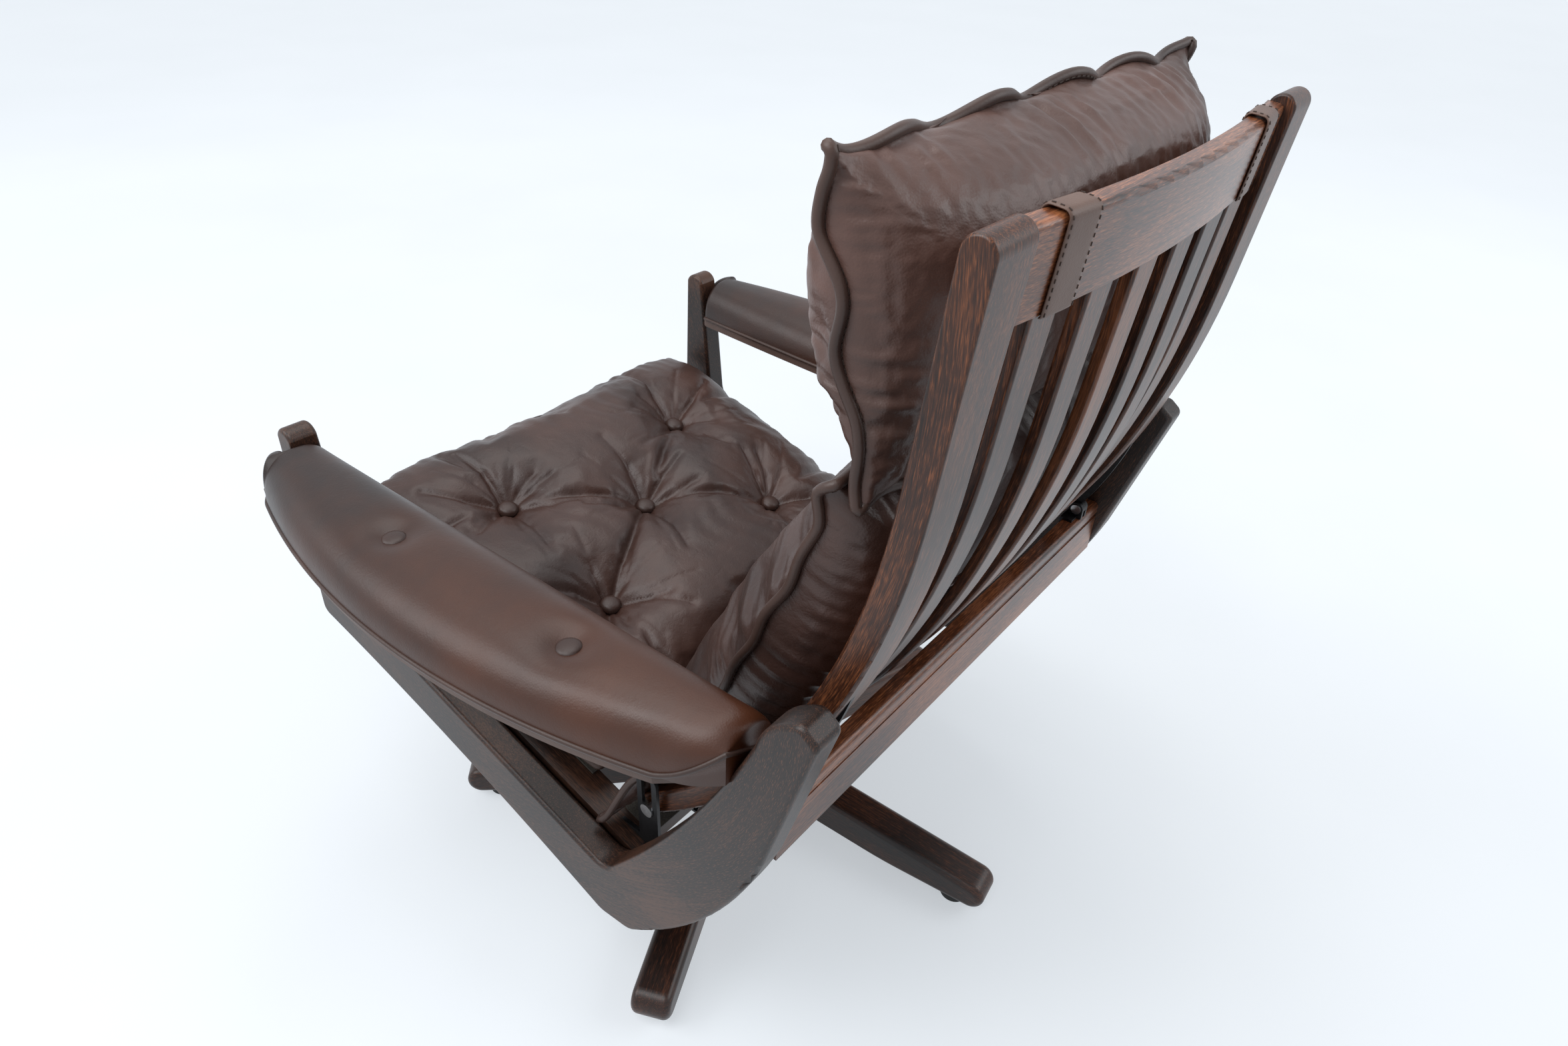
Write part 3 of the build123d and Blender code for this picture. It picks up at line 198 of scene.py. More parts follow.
def painted_glow_mask(tree):
    """One at the heads of the front posts, where a warm glow is painted on as if light fell on them, and
    zero elsewhere.
    """
    _, y, z = own_axes(tree)
    height = clamp(tree, calc(tree, "MULTIPLY", calc(tree, "SUBTRACT", z, PAINTED_GLOW_FROM), 30.0))
    ahead = clamp(tree, calc(tree, "MULTIPLY", y, -10.0))
    return calc(tree, "MULTIPLY", height, ahead)


def wood(name, grain, stops, rough=0.36, coat=0.10, peaks=0.4, heads=0.0):
    """Stained beech: long streaks, light flecks and slow changes of tone along the grain, and with heads a
    painted warm glow on the front posts' heads.
    """
    material, tree, shader = new_shader(name, rough, coat)
    shader.inputs["Specular IOR Level"].default_value = 0.38
    vector = grain_vector(tree, grain)
    streak = grain_noise(tree, vector, along=7.0, across=420.0, detail=5.0, rough=0.70)
    fleck = grain_noise(tree, vector, along=110.0, across=1300.0, detail=2.0)
    tone = grain_noise(tree, vector, along=4.5, across=13.0, detail=3.0)
    spots = calc(tree, "MAXIMUM", calc(tree, "SUBTRACT", fleck, 0.59), 0.0)
    parts = [(streak, 0.32), (tone, 0.38), (fleck, 0.30), (spots, peaks)]
    # Painted light: a warmer, lighter tone on the front posts' heads.
    if heads:
        parts.append((painted_glow_mask(tree), heads))
    colour(tree, shader, weighted(tree, *parts), stops)
    bump(tree, shader, streak, 0.10, 0.0006)
    return material


def leather(name, dark, light, rough, pebbles, creases, painted_rear_light=0.0):
    """Leather: fine pebbled grain, soft creases and a slow change of tone, and when asked a painted light
    that makes it lighter and oranger towards the rear.
    """
    material, tree, shader = new_shader(name, rough, 0.03)
    shader.inputs["Specular IOR Level"].default_value = 0.44
    place = own_place(tree)
    tone = noise(tree, place, 7.0, detail=4.0, rough=0.6)
    # Painted light: the tone rises towards the rear end, as if light fell on it there.
    if painted_rear_light:
        tone = calc(tree, "ADD", weighted(tree, (tone, 0.5), (own_axes(tree)[1], painted_rear_light)), 0.26)
    colour(tree, shader, tone, ((0.35, dark), (0.65, light)))
    cells = tree.nodes.new("ShaderNodeTexVoronoi")
    cells.inputs["Scale"].default_value = 620.0
    tree.links.new(place, cells.inputs["Vector"])
    lines = calc(tree, "ABSOLUTE", calc(tree, "SUBTRACT", noise(tree, place, 55.0), 0.5))
    folds = calc(tree, "MINIMUM", calc(tree, "MULTIPLY", lines, 9.0), 1.0)
    height = weighted(tree, (cells.outputs["Distance"], pebbles), (folds, creases))
    bump(tree, shader, height, 0.45, 0.0009)
    sheen = tree.nodes.new("ShaderNodeMapRange")
    sheen.inputs["To Min"].default_value = rough - 0.05
    sheen.inputs["To Max"].default_value = rough + 0.12
    tree.links.new(noise(tree, place, 22.0), sheen.inputs["Value"])
    tree.links.new(sheen.outputs[0], shader.inputs["Roughness"])
    return material


def worked(name, dark, light, rough, metal, scale, strength):
    """Metal, plastic, rubber, web or thread: a slight mottle in colour and a fine bump."""
    material, tree, shader = new_shader(name, rough, 0.0, metal)
    value = noise(tree, own_place(tree), scale)
    colour(tree, shader, value, ((0.3, dark), (0.7, light)))
    bump(tree, shader, value, strength, 0.0004)
    return material


DARK_WOOD = (
    (0.40, (0.0045, 0.0024, 0.0018)),
    (0.51, (0.0180, 0.0082, 0.0055)),
    (0.62, (0.0850, 0.0360, 0.0200)))
WARM_WOOD = (
    (0.40, (0.0080, 0.0030, 0.0020)),
    (0.50, (0.0480, 0.0155, 0.0072)),
    (0.62, (0.2100, 0.0700, 0.0270)))
LEG_WOOD = (
    (0.40, (0.0060, 0.0028, 0.0020)),
    (0.50, (0.0300, 0.0108, 0.0062)),
    (0.62, (0.1400, 0.0480, 0.0220)))
# A lighter, oranger copy of the warm stain for the top rail and rear stretcher: painted light, as if lit
# from behind.
PAINTED_LIT_WOOD = (
    (0.40, (0.0170, 0.0058, 0.0032)),
    (0.50, (0.1350, 0.0420, 0.0170)),
    (0.60, (0.3800, 0.1350, 0.0540)))
PALE_WOOD = ((0.40, (0.20, 0.11, 0.055)), (0.50, (0.31, 0.19, 0.10)), (0.62, (0.42, 0.27, 0.15)))
SIDE_CENTRE = (-0.080, 0.640)
ACROSS, UPWARD = (1.0, 0.0, 0.0), (0.0, 0.0, 1.0)
LEG_TURN, LEG_STEP, LEG_FALL = 25.5, 72, 0.09

# heads paints a warm glow of light on the front posts' heads.
side_wood = wood("side frame wood", SIDE_CENTRE, DARK_WOOD, rough=0.42, peaks=2.6, heads=0.11)
back_wood = wood("back wood", BACK_CENTRE, WARM_WOOD)
cross_wood = wood("cross rail wood", ACROSS, WARM_WOOD)
painted_lit_rail_wood = wood("rail wood painted lit", ACROSS, PAINTED_LIT_WOOD, rough=0.30, coat=0.25)
pale_wood = wood("pale wood", ACROSS, PALE_WOOD, rough=0.5, coat=0.0)
seat_wood = wood("seat rail wood", ACROSS, DARK_WOOD, rough=0.45, coat=0.0)
runner_wood = wood("runner wood", tuple(DECK_DOWN), DARK_WOOD, rough=0.45, coat=0.0)

# Leathers: dark and light tone, roughness, strength of pebbles and of creases
brown = leather("brown leather", (0.029, 0.0138, 0.0106), (0.070, 0.0330, 0.0246), 0.36, 0.24, 0.34)
# A lighter copy of the brown leather for the head pillow: painted light, as if more light fell on the head.
lit_head_brown = leather("head leather painted lighter", (0.058, 0.0300, 0.0232), (0.118, 0.0610, 0.0480), 0.38, 0.24, 0.30)
# The arm leather turns lighter and oranger towards the rear: painted light on the rear end.
arm_brown = leather(
    "arm leather", (0.019, 0.0088, 0.0066), (0.074, 0.0215, 0.0076), 0.36, 0.18, 0.12, painted_rear_light=0.42)
piping = leather("piping leather", (0.032, 0.0160, 0.0118), (0.066, 0.0340, 0.0250), 0.42, 0.15, 0.12)
button_brown = leather("button leather", (0.026, 0.0120, 0.0088), (0.055, 0.0260, 0.0190), 0.38, 0.18, 0.08)
strap_brown = leather("strap leather", (0.092, 0.050, 0.036), (0.150, 0.086, 0.063), 0.42, 0.20, 0.08)
board_leather = leather("arm board leather", (0.075, 0.042, 0.032), (0.130, 0.080, 0.064), 0.45, 0.18, 0.08)

# Worked surfaces: dark and light tone, roughness, metal, scale of the mottle and strength of its bump
black_steel = worked("black steel", (0.008, 0.008, 0.009), (0.018, 0.018, 0.020), 0.42, 0.6, 240.0, 0.10)
bright_steel = worked("bright steel", (0.42, 0.42, 0.43), (0.60, 0.60, 0.61), 0.30, 1.0, 160.0, 0.08)
black_plastic = worked("black plastic", (0.01, 0.01, 0.01), (0.022, 0.022, 0.022), 0.50, 0.0, 300.0, 0.10)
rubber = worked("glide rubber", (0.008, 0.008, 0.008), (0.020, 0.020, 0.020), 0.70, 0.0, 400.0, 0.20)
webbing = worked("webbing", (0.020, 0.017, 0.014), (0.055, 0.046, 0.036), 0.85, 0.0, 700.0, 0.60)
thread = worked("thread", (0.030, 0.017, 0.013), (0.050, 0.029, 0.022), 0.70, 0.0, 900.0, 0.30)


def finish_nodes(material, slot, *names):
    """Give CAD nodes a material."""
    for name in names:
        node = nodes[name]
        node.data.materials.clear()
        node.data.materials.append(material)


finish_nodes(side_wood, "stained_wood", "side_frame_left", "side_frame_right")
finish_nodes(back_wood, "stained_wood", "back_stile_left", "back_stile_right",
             *[f"back_slat_{number}" for number in range(1, 7)])
# The top rail and rear stretcher get the painted-light copy of the stain.
finish_nodes(painted_lit_rail_wood, "stained_wood", "top_rail", "rear_stretcher")
finish_nodes(cross_wood, "stained_wood", "bottom_rail", "front_stretcher")
for number in range(1, 6):
    turn = radians(LEG_TURN + LEG_STEP * (number - 1))
    leg_wood = wood(f"leg wood {number}", (cos(turn), sin(turn), -LEG_FALL), LEG_WOOD)
    finish_nodes(leg_wood, "stained_wood", f"base_leg_{number}")
finish_nodes(wood("hub wood", UPWARD, DARK_WOOD), "stained_wood", "base_hub")
finish_nodes(rubber, "rubber_feet", "floor_glides")
finish_nodes(black_steel, "black_steel", "hub_plate", "column_tube", "swivel_spindle", "swivel_plate",
             "swivel_cheeks", "steel_bar_front", "steel_bar_rear", "recline_bracket_left",
             "recline_bracket_right", "recline_blade_left", "recline_blade_right", "link_plate_left",
             "link_plate_right")
finish_nodes(bright_steel, "bright_steel", "hub_screws", "swivel_bolts", "frame_screws", "pivot_pins",
             "link_pins")
finish_nodes(black_plastic, "black_plastic", "column_bush")
finish_nodes(pale_wood, "plain_wood", "frame_dowels")
finish_nodes(seat_wood, "stained_wood", "seat_front_rail", "seat_rear_rail")
finish_nodes(runner_wood, "stained_wood", "seat_runner_left", "seat_runner_right", "seat_rail_left",
             "seat_rail_right")
finish_nodes(webbing, "webbing", "seat_webbing")
finish_nodes(board_leather, "arm_leather", "arm_board_left", "arm_board_right")
finish_nodes(strap_brown, "strap_leather", "strap_left", "strap_right")
finish_nodes(arm_brown, "brown_leather", "arm_pad_left", "arm_pad_right", "arm_buttons")
finish_nodes(brown, "brown_leather", "seat_cushion", "lumbar_cushion", "head_cushion", "seat_buttons")


# Meshes for the soft pieces

def make_object(name, verts, faces, material, smooth=True):
    """A mesh object from plain lists, with its material."""
    mesh = bpy.data.meshes.new(name)
    mesh.from_pydata([tuple(v) for v in verts], [], faces)
    mesh.validate()
    mesh.update()
    if smooth:
        mesh.polygons.foreach_set("use_smooth", [True] * len(mesh.polygons))
    obj = bpy.data.objects.new(name, mesh)
    bpy.context.scene.collection.objects.link(obj)
    mesh.materials.append(material)
    return obj


def two_sheets(front, back):
    """Close two grids of points that share their rim; returns points, faces and the rim's order."""
    rows, columns = front.shape[:2]
    index = np.arange(rows * columns).reshape(rows, columns)
    verts = list(front.reshape(-1, 3))
    inner = -np.ones((rows, columns), dtype=int)
    for i in range(1, rows - 1):
        for j in range(1, columns - 1):
            inner[i, j] = len(verts)
            verts.append(back[i, j])
    other = np.where(inner < 0, index, inner)
    faces = []
    for i in range(rows - 1):
        for j in range(columns - 1):
            faces.append((index[i, j], index[i, j + 1], index[i + 1, j + 1], index[i + 1, j]))
            faces.append((other[i, j], other[i + 1, j], other[i + 1, j + 1], other[i, j + 1]))
    rim = list(index[0, :-1]) + list(index[:-1, -1]) + list(index[-1, :0:-1]) + list(index[:0:-1, 0])
    return verts, [tuple(int(v) for v in face) for face in faces], [int(v) for v in rim]


def both_sheets(values):
    """Repeat a grid of values for the inner points of the second sheet."""
    return np.concatenate([values.reshape(-1), values[1:-1, 1:-1].reshape(-1)])


SWELL_FRAMES = 20
LEATHER_GROWTH = 0.030


def inflate(obj, held, pressure, cap):
    """Let the leather swell and wrinkle between its held points, then keep the result."""
    mesh = obj.data
    before = np.array([v.co for v in mesh.vertices])
    group = obj.vertex_groups.new(name="held")
    for vertex, weight in held.items():
        group.add([vertex], weight, "REPLACE")
    cloth = obj.modifiers.new("swell", "CLOTH")
    cloth.settings.quality = 6
    cloth.settings.mass = 0.25
    cloth.settings.tension_stiffness = 18.0
    cloth.settings.compression_stiffness = 18.0
    cloth.settings.shear_stiffness = 8.0
    cloth.settings.bending_stiffness = 0.3
    cloth.settings.use_pressure = True
    cloth.settings.uniform_pressure_force = pressure
    cloth.settings.shrink_min = -LEATHER_GROWTH
    cloth.settings.vertex_group_mass = "held"
    cloth.settings.effector_weights.gravity = 0.0
    cloth.collision_settings.use_collision = False
    cloth.point_cache.frame_start = 1
    cloth.point_cache.frame_end = SWELL_FRAMES
    scene = bpy.context.scene
    for step in range(1, SWELL_FRAMES + 1):
        scene.frame_set(step)
    posed = obj.evaluated_get(bpy.context.evaluated_depsgraph_get())
    after = np.array([v.co for v in posed.data.vertices])
    obj.modifiers.remove(cloth)
    moved = after - before
    reach = np.linalg.norm(moved, axis=1)
    scale = np.where(reach > cap, cap / np.maximum(reach, 1e-9), 1.0)
    mesh.vertices.foreach_set("co", (before + moved * scale[:, None]).reshape(-1))
    mesh.update()
    scene.frame_set(1)


def subdivide(obj):
    """One smooth subdivision, kept as a modifier."""
    modifier = obj.modifiers.new("smooth", "SUBSURF")
    modifier.levels = 1
    modifier.render_levels = 1


def refine(obj, marks):
    """Take one smooth subdivision into the mesh; returns the marks, values of its points, on it."""
    for name, values in marks.items():
        obj.data.attributes.new(name, "FLOAT", "POINT").data.foreach_set("value", values)
    subdivide(obj)
    depsgraph = bpy.context.evaluated_depsgraph_get()
    fine = bpy.data.meshes.new_from_object(
        obj.evaluated_get(depsgraph), preserve_all_data_layers=True, depsgraph=depsgraph)
    obj.modifiers.clear()
    obj.data = fine
    carried = []
    for name in marks:
        values = np.zeros(len(fine.vertices))
        fine.attributes[name].data.foreach_get("value", values)
        carried.append(values)
        fine.attributes.remove(fine.attributes[name])
    return carried


def gather(obj, edge, along, depth, reach, pitch):
    """Small folds at right angles to a seam: along each sheet's normal, fading from the rim."""
    mesh = obj.data
    normals = np.array([v.normal for v in mesh.vertices])
    places = np.array([v.co for v in mesh.vertices])
    wave = np.sin(2 * pi * along / pitch + 2.2 * np.sin(along * 31.0) + edge * 60.0)
    wave += 0.6 * np.sin(2 * pi * along / (pitch * 1.7) + 1.3 + 1.5 * np.sin(along * 17.0))
    wave += 0.4 * np.sin(2 * pi * along / (pitch * 0.53) + 0.7 + 2.4 * np.sin(along * 13.0) - edge * 90.0)
    wave *= 0.55 + 0.45 * np.sin(along * 23.0 + 1.7 * np.sin(along * 11.0))
    fade = np.exp(-edge / reach) * np.clip(edge / 0.006, 0.0, 1.0)
    mesh.vertices.foreach_set("co", (places + normals * (depth * wave * fade)[:, None]).reshape(-1))
    mesh.update()


# Paths, piping, stitches and buttons

def unit(vectors):
    """Vectors brought to length one."""
    return vectors / np.linalg.norm(vectors, axis=-1, keepdims=True)


def lengths_along(path):
    """How far along a path each of its points lies."""
    return np.concatenate([[0.0], np.cumsum(np.linalg.norm(np.diff(path, axis=0), axis=1))])


def places_along(path, lengths, distances):
    """Places on a path at distances along it."""
    return np.stack([np.interp(distances, lengths, path[:, axis]) for axis in range(3)], axis=-1)


def tube(name, points, radius, material, body):
    """Round piping through points, closed to a ring."""
    curve = bpy.data.curves.new(name, "CURVE")
    curve.dimensions = "3D"
    curve.bevel_depth = radius
    curve.bevel_resolution = 3
    spline = curve.splines.new("POLY")
    spline.points.add(len(points) - 1)
    for point, place in zip(spline.points, points):
        point.co = (*place, 1.0)
    spline.use_cyclic_u = True
    obj = bpy.data.objects.new(name, curve)
    bpy.context.scene.collection.objects.link(obj)
    curve.materials.append(material)
    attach(obj, body)


def piping_along(name, points, rim, centre, radius, lift, body):
    """Piping on the rim of a cushion, lifted off its middle by a little; returns its path."""
    path = np.array([points[v] for v in rim])
    smooth = (np.roll(path, 1, axis=0) + path * 2 + np.roll(path, -1, axis=0)) / 4
    path = smooth + unit(smooth - np.array(centre)) * lift
    tube(name, path, radius, piping, body)
    return path


def dashes(name, marks, half_length, half_thick, body):
    """Stitches as small bars, each at a place, along a way, with two directions across it."""
    verts, faces = [], []
    for middle, way, cross, out in marks:
        start = len(verts)
        for end in (-1, 1):
            for u, v in ((-1, -1), (1, -1), (1, 1), (-1, 1)):
                verts.append(middle + way * end * half_length + (cross * u + out * v) * half_thick)
        faces += [(start, start + 1, start + 2, start + 3), (start + 7, start + 6, start + 5, start + 4)]
        for k in range(4):
            after = (k + 1) % 4
            faces.append((start + k, start + 4 + k, start + 4 + after, start + after))
    obj = make_object(name, verts, faces, thread, smooth=False)
    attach(obj, body)


def stitches(name, path, centre, radius, pitch, body):
    """Short stitches beside a seam's piping, on both of its sides."""
    aside_share, sink_share = 0.86, 0.50
    closed = np.vstack([path, path[:1]])
    lengths = lengths_along(closed)
    spots = places_along(closed, lengths, np.arange(int(lengths[-1] / pitch)) * pitch)
    ways = unit(np.roll(spots, -1, axis=0) - np.roll(spots, 1, axis=0))
    outward = unit(spots - np.array(centre))
    across = np.cross(ways, outward)
    marks = []
    for side in (1, -1):
        for spot, way, out, cross in zip(spots, ways, outward, across):
            beside = (cross * side * aside_share - out * sink_share) * radius
            marks.append((spot + beside, way, cross, out))
    dashes(name, marks, pitch * 0.30, 0.00055, body)


BUTTON_RING_SHARES = ((1.00, -0.9), (1.04, -0.2), (0.98, 0.35), (0.80, 0.72), (0.52, 0.90), (0.24, 0.97))


def button(name, places, normal, radius, height, body, node):
    """Covered buttons: flat domes with a soft rim, standing on their places."""
    verts, faces = [], []
    up = Vector(normal).normalized()
    side = up.orthogonal().normalized()
    third = up.cross(side)
    around = 28
    for place in places:
        start = len(verts)
        for share, lift in BUTTON_RING_SHARES:
            for step in range(around):
                turn = 2 * pi * step / around
                verts.append(Vector(place) + side * cos(turn) * share * radius
                             + third * sin(turn) * share * radius + up * lift * height)
        verts.append(Vector(place) + up * height)
        verts.append(Vector(place) - up * height)
        last = start + (len(BUTTON_RING_SHARES) - 1) * around
        for ring in range(start, last, around):
            for step in range(around):
                a, b = ring + step, ring + (step + 1) % around
                faces.append((a, b, b + around, a + around))
        for step in range(around):
            after = (step + 1) % around
            faces.append((last + step, last + after, len(verts) - 2))
            faces.append((start + after, start + step, len(verts) - 1))
    obj = make_object(name, verts, faces, button_brown)
    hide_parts(node)
    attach(obj, body)


# Shares and folds

def between(table, value):
    """Read a table of (place, amount) pairs at a value, straight between its rows."""
    places, amounts = zip(*table)
    return float(np.interp(value, places, amounts))


def roll(share, power, sharpness=0.5):
    """How full a cushion is at a share of the way from its middle to its rim."""
    return (1.0 - min(abs(share), 1.0) ** power) ** sharpness


def spread(count):
    """Shares from -1 to 1, closer together near the ends."""
    return [0.62 * value + 0.38 * sin(pi / 2 * value) for value in np.linspace(-1.0, 1.0, count)]


def dent(plan, spot, depth, reach):
    """A dip round a held place on the deck, fading over its reach."""
    distance = np.hypot(plan[..., 0] - spot[0], plan[..., 1] - spot[1])
    return depth * np.exp(-(distance / reach) ** 1.15)


def crease(plan, start, end, depth, reach):
    """A fold along a line between two places on the deck."""
    line = np.array(end) - np.array(start)
    off_x, off_u = plan[..., 0] - start[0], plan[..., 1] - start[1]
    along = np.clip((off_x * line[0] + off_u * line[1]) / (line @ line), 0.0, 1.0)
    away = np.hypot(off_x - along * line[0], off_u - along * line[1])
    return depth * np.exp(-away / reach)


def button_pleats(plan, spot, count, phase, depth, reach):
    """Short folds that run out from a button, each with its own length and turn."""
    usual_length, length_change = 0.070, 0.038
    pull = np.zeros(plan.shape[:-1])
    for number in range(count):
        turn = 2 * pi * (number + 0.5 * sin(number * 2.4 + phase)) / count + phase
        length = usual_length + length_change * sin(number * 3.7 + phase * 2)
        bend = turn + 0.22 * sin(number * 1.9 + phase)
        half = (spot[0] + cos(turn) * length * 0.5, spot[1] + sin(turn) * length * 0.5)
        end = (half[0] + cos(bend) * length * 0.5, half[1] + sin(bend) * length * 0.5)
        pull = np.maximum(pull, crease(plan, spot, half, depth, reach))
        pull = np.maximum(pull, crease(plan, half, end, depth * 0.6, reach * 0.85))
    return pull


# Seat cushion: u runs down the deck to the back, and heights are square off the deck.
SEAT_HALF = 0.291
SEAT_FRONT = -0.503
SEAT_REAR = -0.022
SEAT_UNDER = 0.003
SEAT_WELT = 0.028
SEAT_CROWN = 0.094
SEAT_BUTTON_LIFT = 0.066
SEAT_BUTTON_RADIUS = 0.0118
SEAT_BUTTON_HEIGHT = 0.0062
SEAT_BUTTON_HOLD = 0.010
SEAT_BUTTON_MIDDLE = (0.0, -0.263)
SEAT_BUTTON_X, SEAT_BUTTON_U = 0.145, 0.094
SEAT_BUTTONS = [SEAT_BUTTON_MIDDLE] + [
    (x, SEAT_BUTTON_MIDDLE[1] + u)
    for x in (-SEAT_BUTTON_X, SEAT_BUTTON_X) for u in (-SEAT_BUTTON_U, SEAT_BUTTON_U)]
FOLD_SIDE, FOLD_END = 0.27, 0.03


def seat_pull(plan):
    """How far the buttons, their pleats and the long folds draw the upper sheet down."""
    pull = np.zeros(plan.shape[:-1])
    for spot in SEAT_BUTTONS:
        pull = np.maximum(pull, dent(plan, spot, depth=0.030, reach=0.040))
    for number, spot in enumerate(SEAT_BUTTONS):
        pull = pull + button_pleats(plan, spot, 10, 0.9 * number + 0.4, depth=0.0070, reach=0.0050)
    for spot in SEAT_BUTTONS[1:]:
        side_x = FOLD_SIDE if spot[0] > 0 else -FOLD_SIDE
        end_u = SEAT_FRONT + FOLD_END if spot[1] < SEAT_BUTTON_MIDDLE[1] else SEAT_REAR - FOLD_END
        pull = np.maximum(pull, crease(plan, SEAT_BUTTON_MIDDLE, spot, depth=0.016, reach=0.010))
        pull = np.maximum(pull, crease(plan, spot, (side_x, spot[1] * 1.02), depth=0.009, reach=0.008))
        pull = np.maximum(pull, crease(plan, spot, (spot[0] * 1.1, end_u), depth=0.009, reach=0.008))
    return pull


def sharpen_folds(obj):
    """Thin folds round the seat's buttons and a faint ripple, cut into the upper sheet's fine mesh."""
    sheet_start, sheet_fade = 0.008, 0.020
    places = np.array([v.co for v in obj.data.vertices])
    away = places - np.array(DECK_ORIGIN)
    plan = np.stack([places[:, 0], away @ DECK_DOWN], axis=1)
    share = np.clip((away @ DECK_UP - SEAT_WELT - sheet_start) / sheet_fade, 0.0, 1.0)
    pull = np.zeros(len(places))
    for number, spot in enumerate(SEAT_BUTTONS):
        deep = button_pleats(plan, spot, 10, 0.9 * number + 0.4, depth=0.0042, reach=0.0026)
        faint = button_pleats(plan, spot, 17, 1.7 * number + 0.9, depth=0.0022, reach=0.0024)
        pull = np.maximum(np.maximum(pull, deep), faint)
    ripple = 0.0006 * np.sin(plan[:, 0] * 210.0 + 3.0 * np.sin(plan[:, 1] * 47.0))
    ripple *= 0.5 + 0.5 * np.sin(plan[:, 0] * 19.0 + plan[:, 1] * 23.0)
    places -= DECK_UP * ((pull + ripple) * share)[:, None]
    obj.data.vertices.foreach_set("co", places.reshape(-1))
    obj.data.update()


def build_seat():
    """Seat cushion: two leather sheets sewn at a rim, the upper one tufted by five buttons."""
    corner_cut, side_hollow, end_hollow, rim_wave = 0.045, 0.022, 0.020, 0.0022
    middle_u, half_u = (SEAT_REAR + SEAT_FRONT) / 2, (SEAT_REAR - SEAT_FRONT) / 2
    columns, rows = spread(117), spread(99)
    plan = np.zeros((len(rows), len(columns), 2))
    full = np.zeros((len(rows), len(columns)))
    for i, t in enumerate(rows):
        for j, s in enumerate(columns):
            corner = corner_cut * abs(s * t) ** 5
            half = SEAT_HALF * (1.0 - side_hollow * (1.0 - t * t) - corner)
            deep = half_u * (1.0 - end_hollow * (1.0 - s * s) - corner)
            plan[i, j] = (s * half, middle_u + t * deep)
            full[i, j] = roll(s, 5.0) * roll(t, 5.0)
    top = SEAT_WELT + (SEAT_CROWN - SEAT_WELT) * full
    top = top - seat_pull(plan) * np.clip(full * 1.6, 0.0, 1.0)
    low = SEAT_WELT - (SEAT_WELT - SEAT_UNDER) * np.minimum(1.0, full * 1.25)
    edge = np.zeros_like(top)
    along = np.zeros_like(top)
    front = np.zeros((len(rows), len(columns), 3))
    back = np.zeros_like(front)
    for i, t in enumerate(rows):
        for j, s in enumerate(columns):
            x, u = plan[i, j]
            side_gap, end_gap = (1.0 - abs(s)) * SEAT_HALF, (1.0 - abs(t)) * half_u
            edge[i, j] = min(side_gap, end_gap)
            along[i, j] = u if side_gap < end_gap else x
            wave = rim_wave * sin(x * 88.0 + u * 71.0) if full[i, j] == 0.0 else 0.0
            front[i, j] = on_deck(x, u, top[i, j] + wave)
            back[i, j] = on_deck(x, u, low[i, j])
    verts, faces, rim = two_sheets(front, back)
    obj = make_object("seat_pillow", verts, faces, brown)
    held = {v: 1.0 for v in rim}
    flat = plan.reshape(-1, 2)
    for v, (x, u) in enumerate(flat):
        if min(hypot(x - spot[0], u - spot[1]) for spot in SEAT_BUTTONS) < SEAT_BUTTON_HOLD:
            held[v] = 1.0
    for v in range(len(flat), len(verts)):
        held[v] = 0.9
    inflate(obj, held, pressure=2.0, cap=0.010)
    points = [v.co.copy() for v in obj.data.vertices]
    edge, along = refine(obj, {"edge": both_sheets(edge), "along": both_sheets(along)})
    gather(obj, edge, along, depth=0.0016, reach=0.030, pitch=0.024)
    sharpen_folds(obj)
    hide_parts("seat_cushion")
    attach(obj, "seat")
    centre = on_deck(*SEAT_BUTTON_MIDDLE, SEAT_WELT)
    piping_along("seat_piping", points, rim, centre, 0.0036, 0.0010, "seat")
    spots = [on_deck(x, u, SEAT_BUTTON_LIFT) for x, u in SEAT_BUTTONS]
    button("seat_button_covers", spots, DECK_UP, SEAT_BUTTON_RADIUS, SEAT_BUTTON_HEIGHT, "seat",
           "seat_buttons")


# Back cushions. The tables hold degrees down the back and millimetres forward of its rear face.
BACK_RUB = 0.0240
LUMBAR = {
    "angles": (8.3, 52.4), "half": 0.265, "flare_top": 0.004, "flare_foot": 0.035, "widening": 0.010,
    "wave": 0.0030, "wave_rate": 60.0, "ear_top": 0.006, "ear_foot": 0.014, "bow": 0.0, "back_roll": 12.0,
    "front": ((8.2, 72.0), (9.4, 96.0), (12.6, 110.6), (16.1, 120.3), (20.7, 133.4), (25.9, 142.0),
              (31.4, 142.0), (36.7, 131.0), (42.4, 112.0), (47.8, 81.0), (50.3, 60.0), (52.6, 30.0)),
    "welt": ((7.8, 72.8), (9.1, 87.0), (11.2, 81.4), (14.8, 85.0), (19.1, 90.8), (22.4, 93.3),
             (26.1, 92.8), (32.2, 85.5), (38.1, 79.6), (44.5, 59.6), (48.8, 44.0), (51.4, 28.3),
             (53.0, 17.0)),
    "rear": ((7.8, 46.0), (10.0, 25.0), (48.0, 25.0), (51.5, 10.0), (53.0, 12.0)),
}
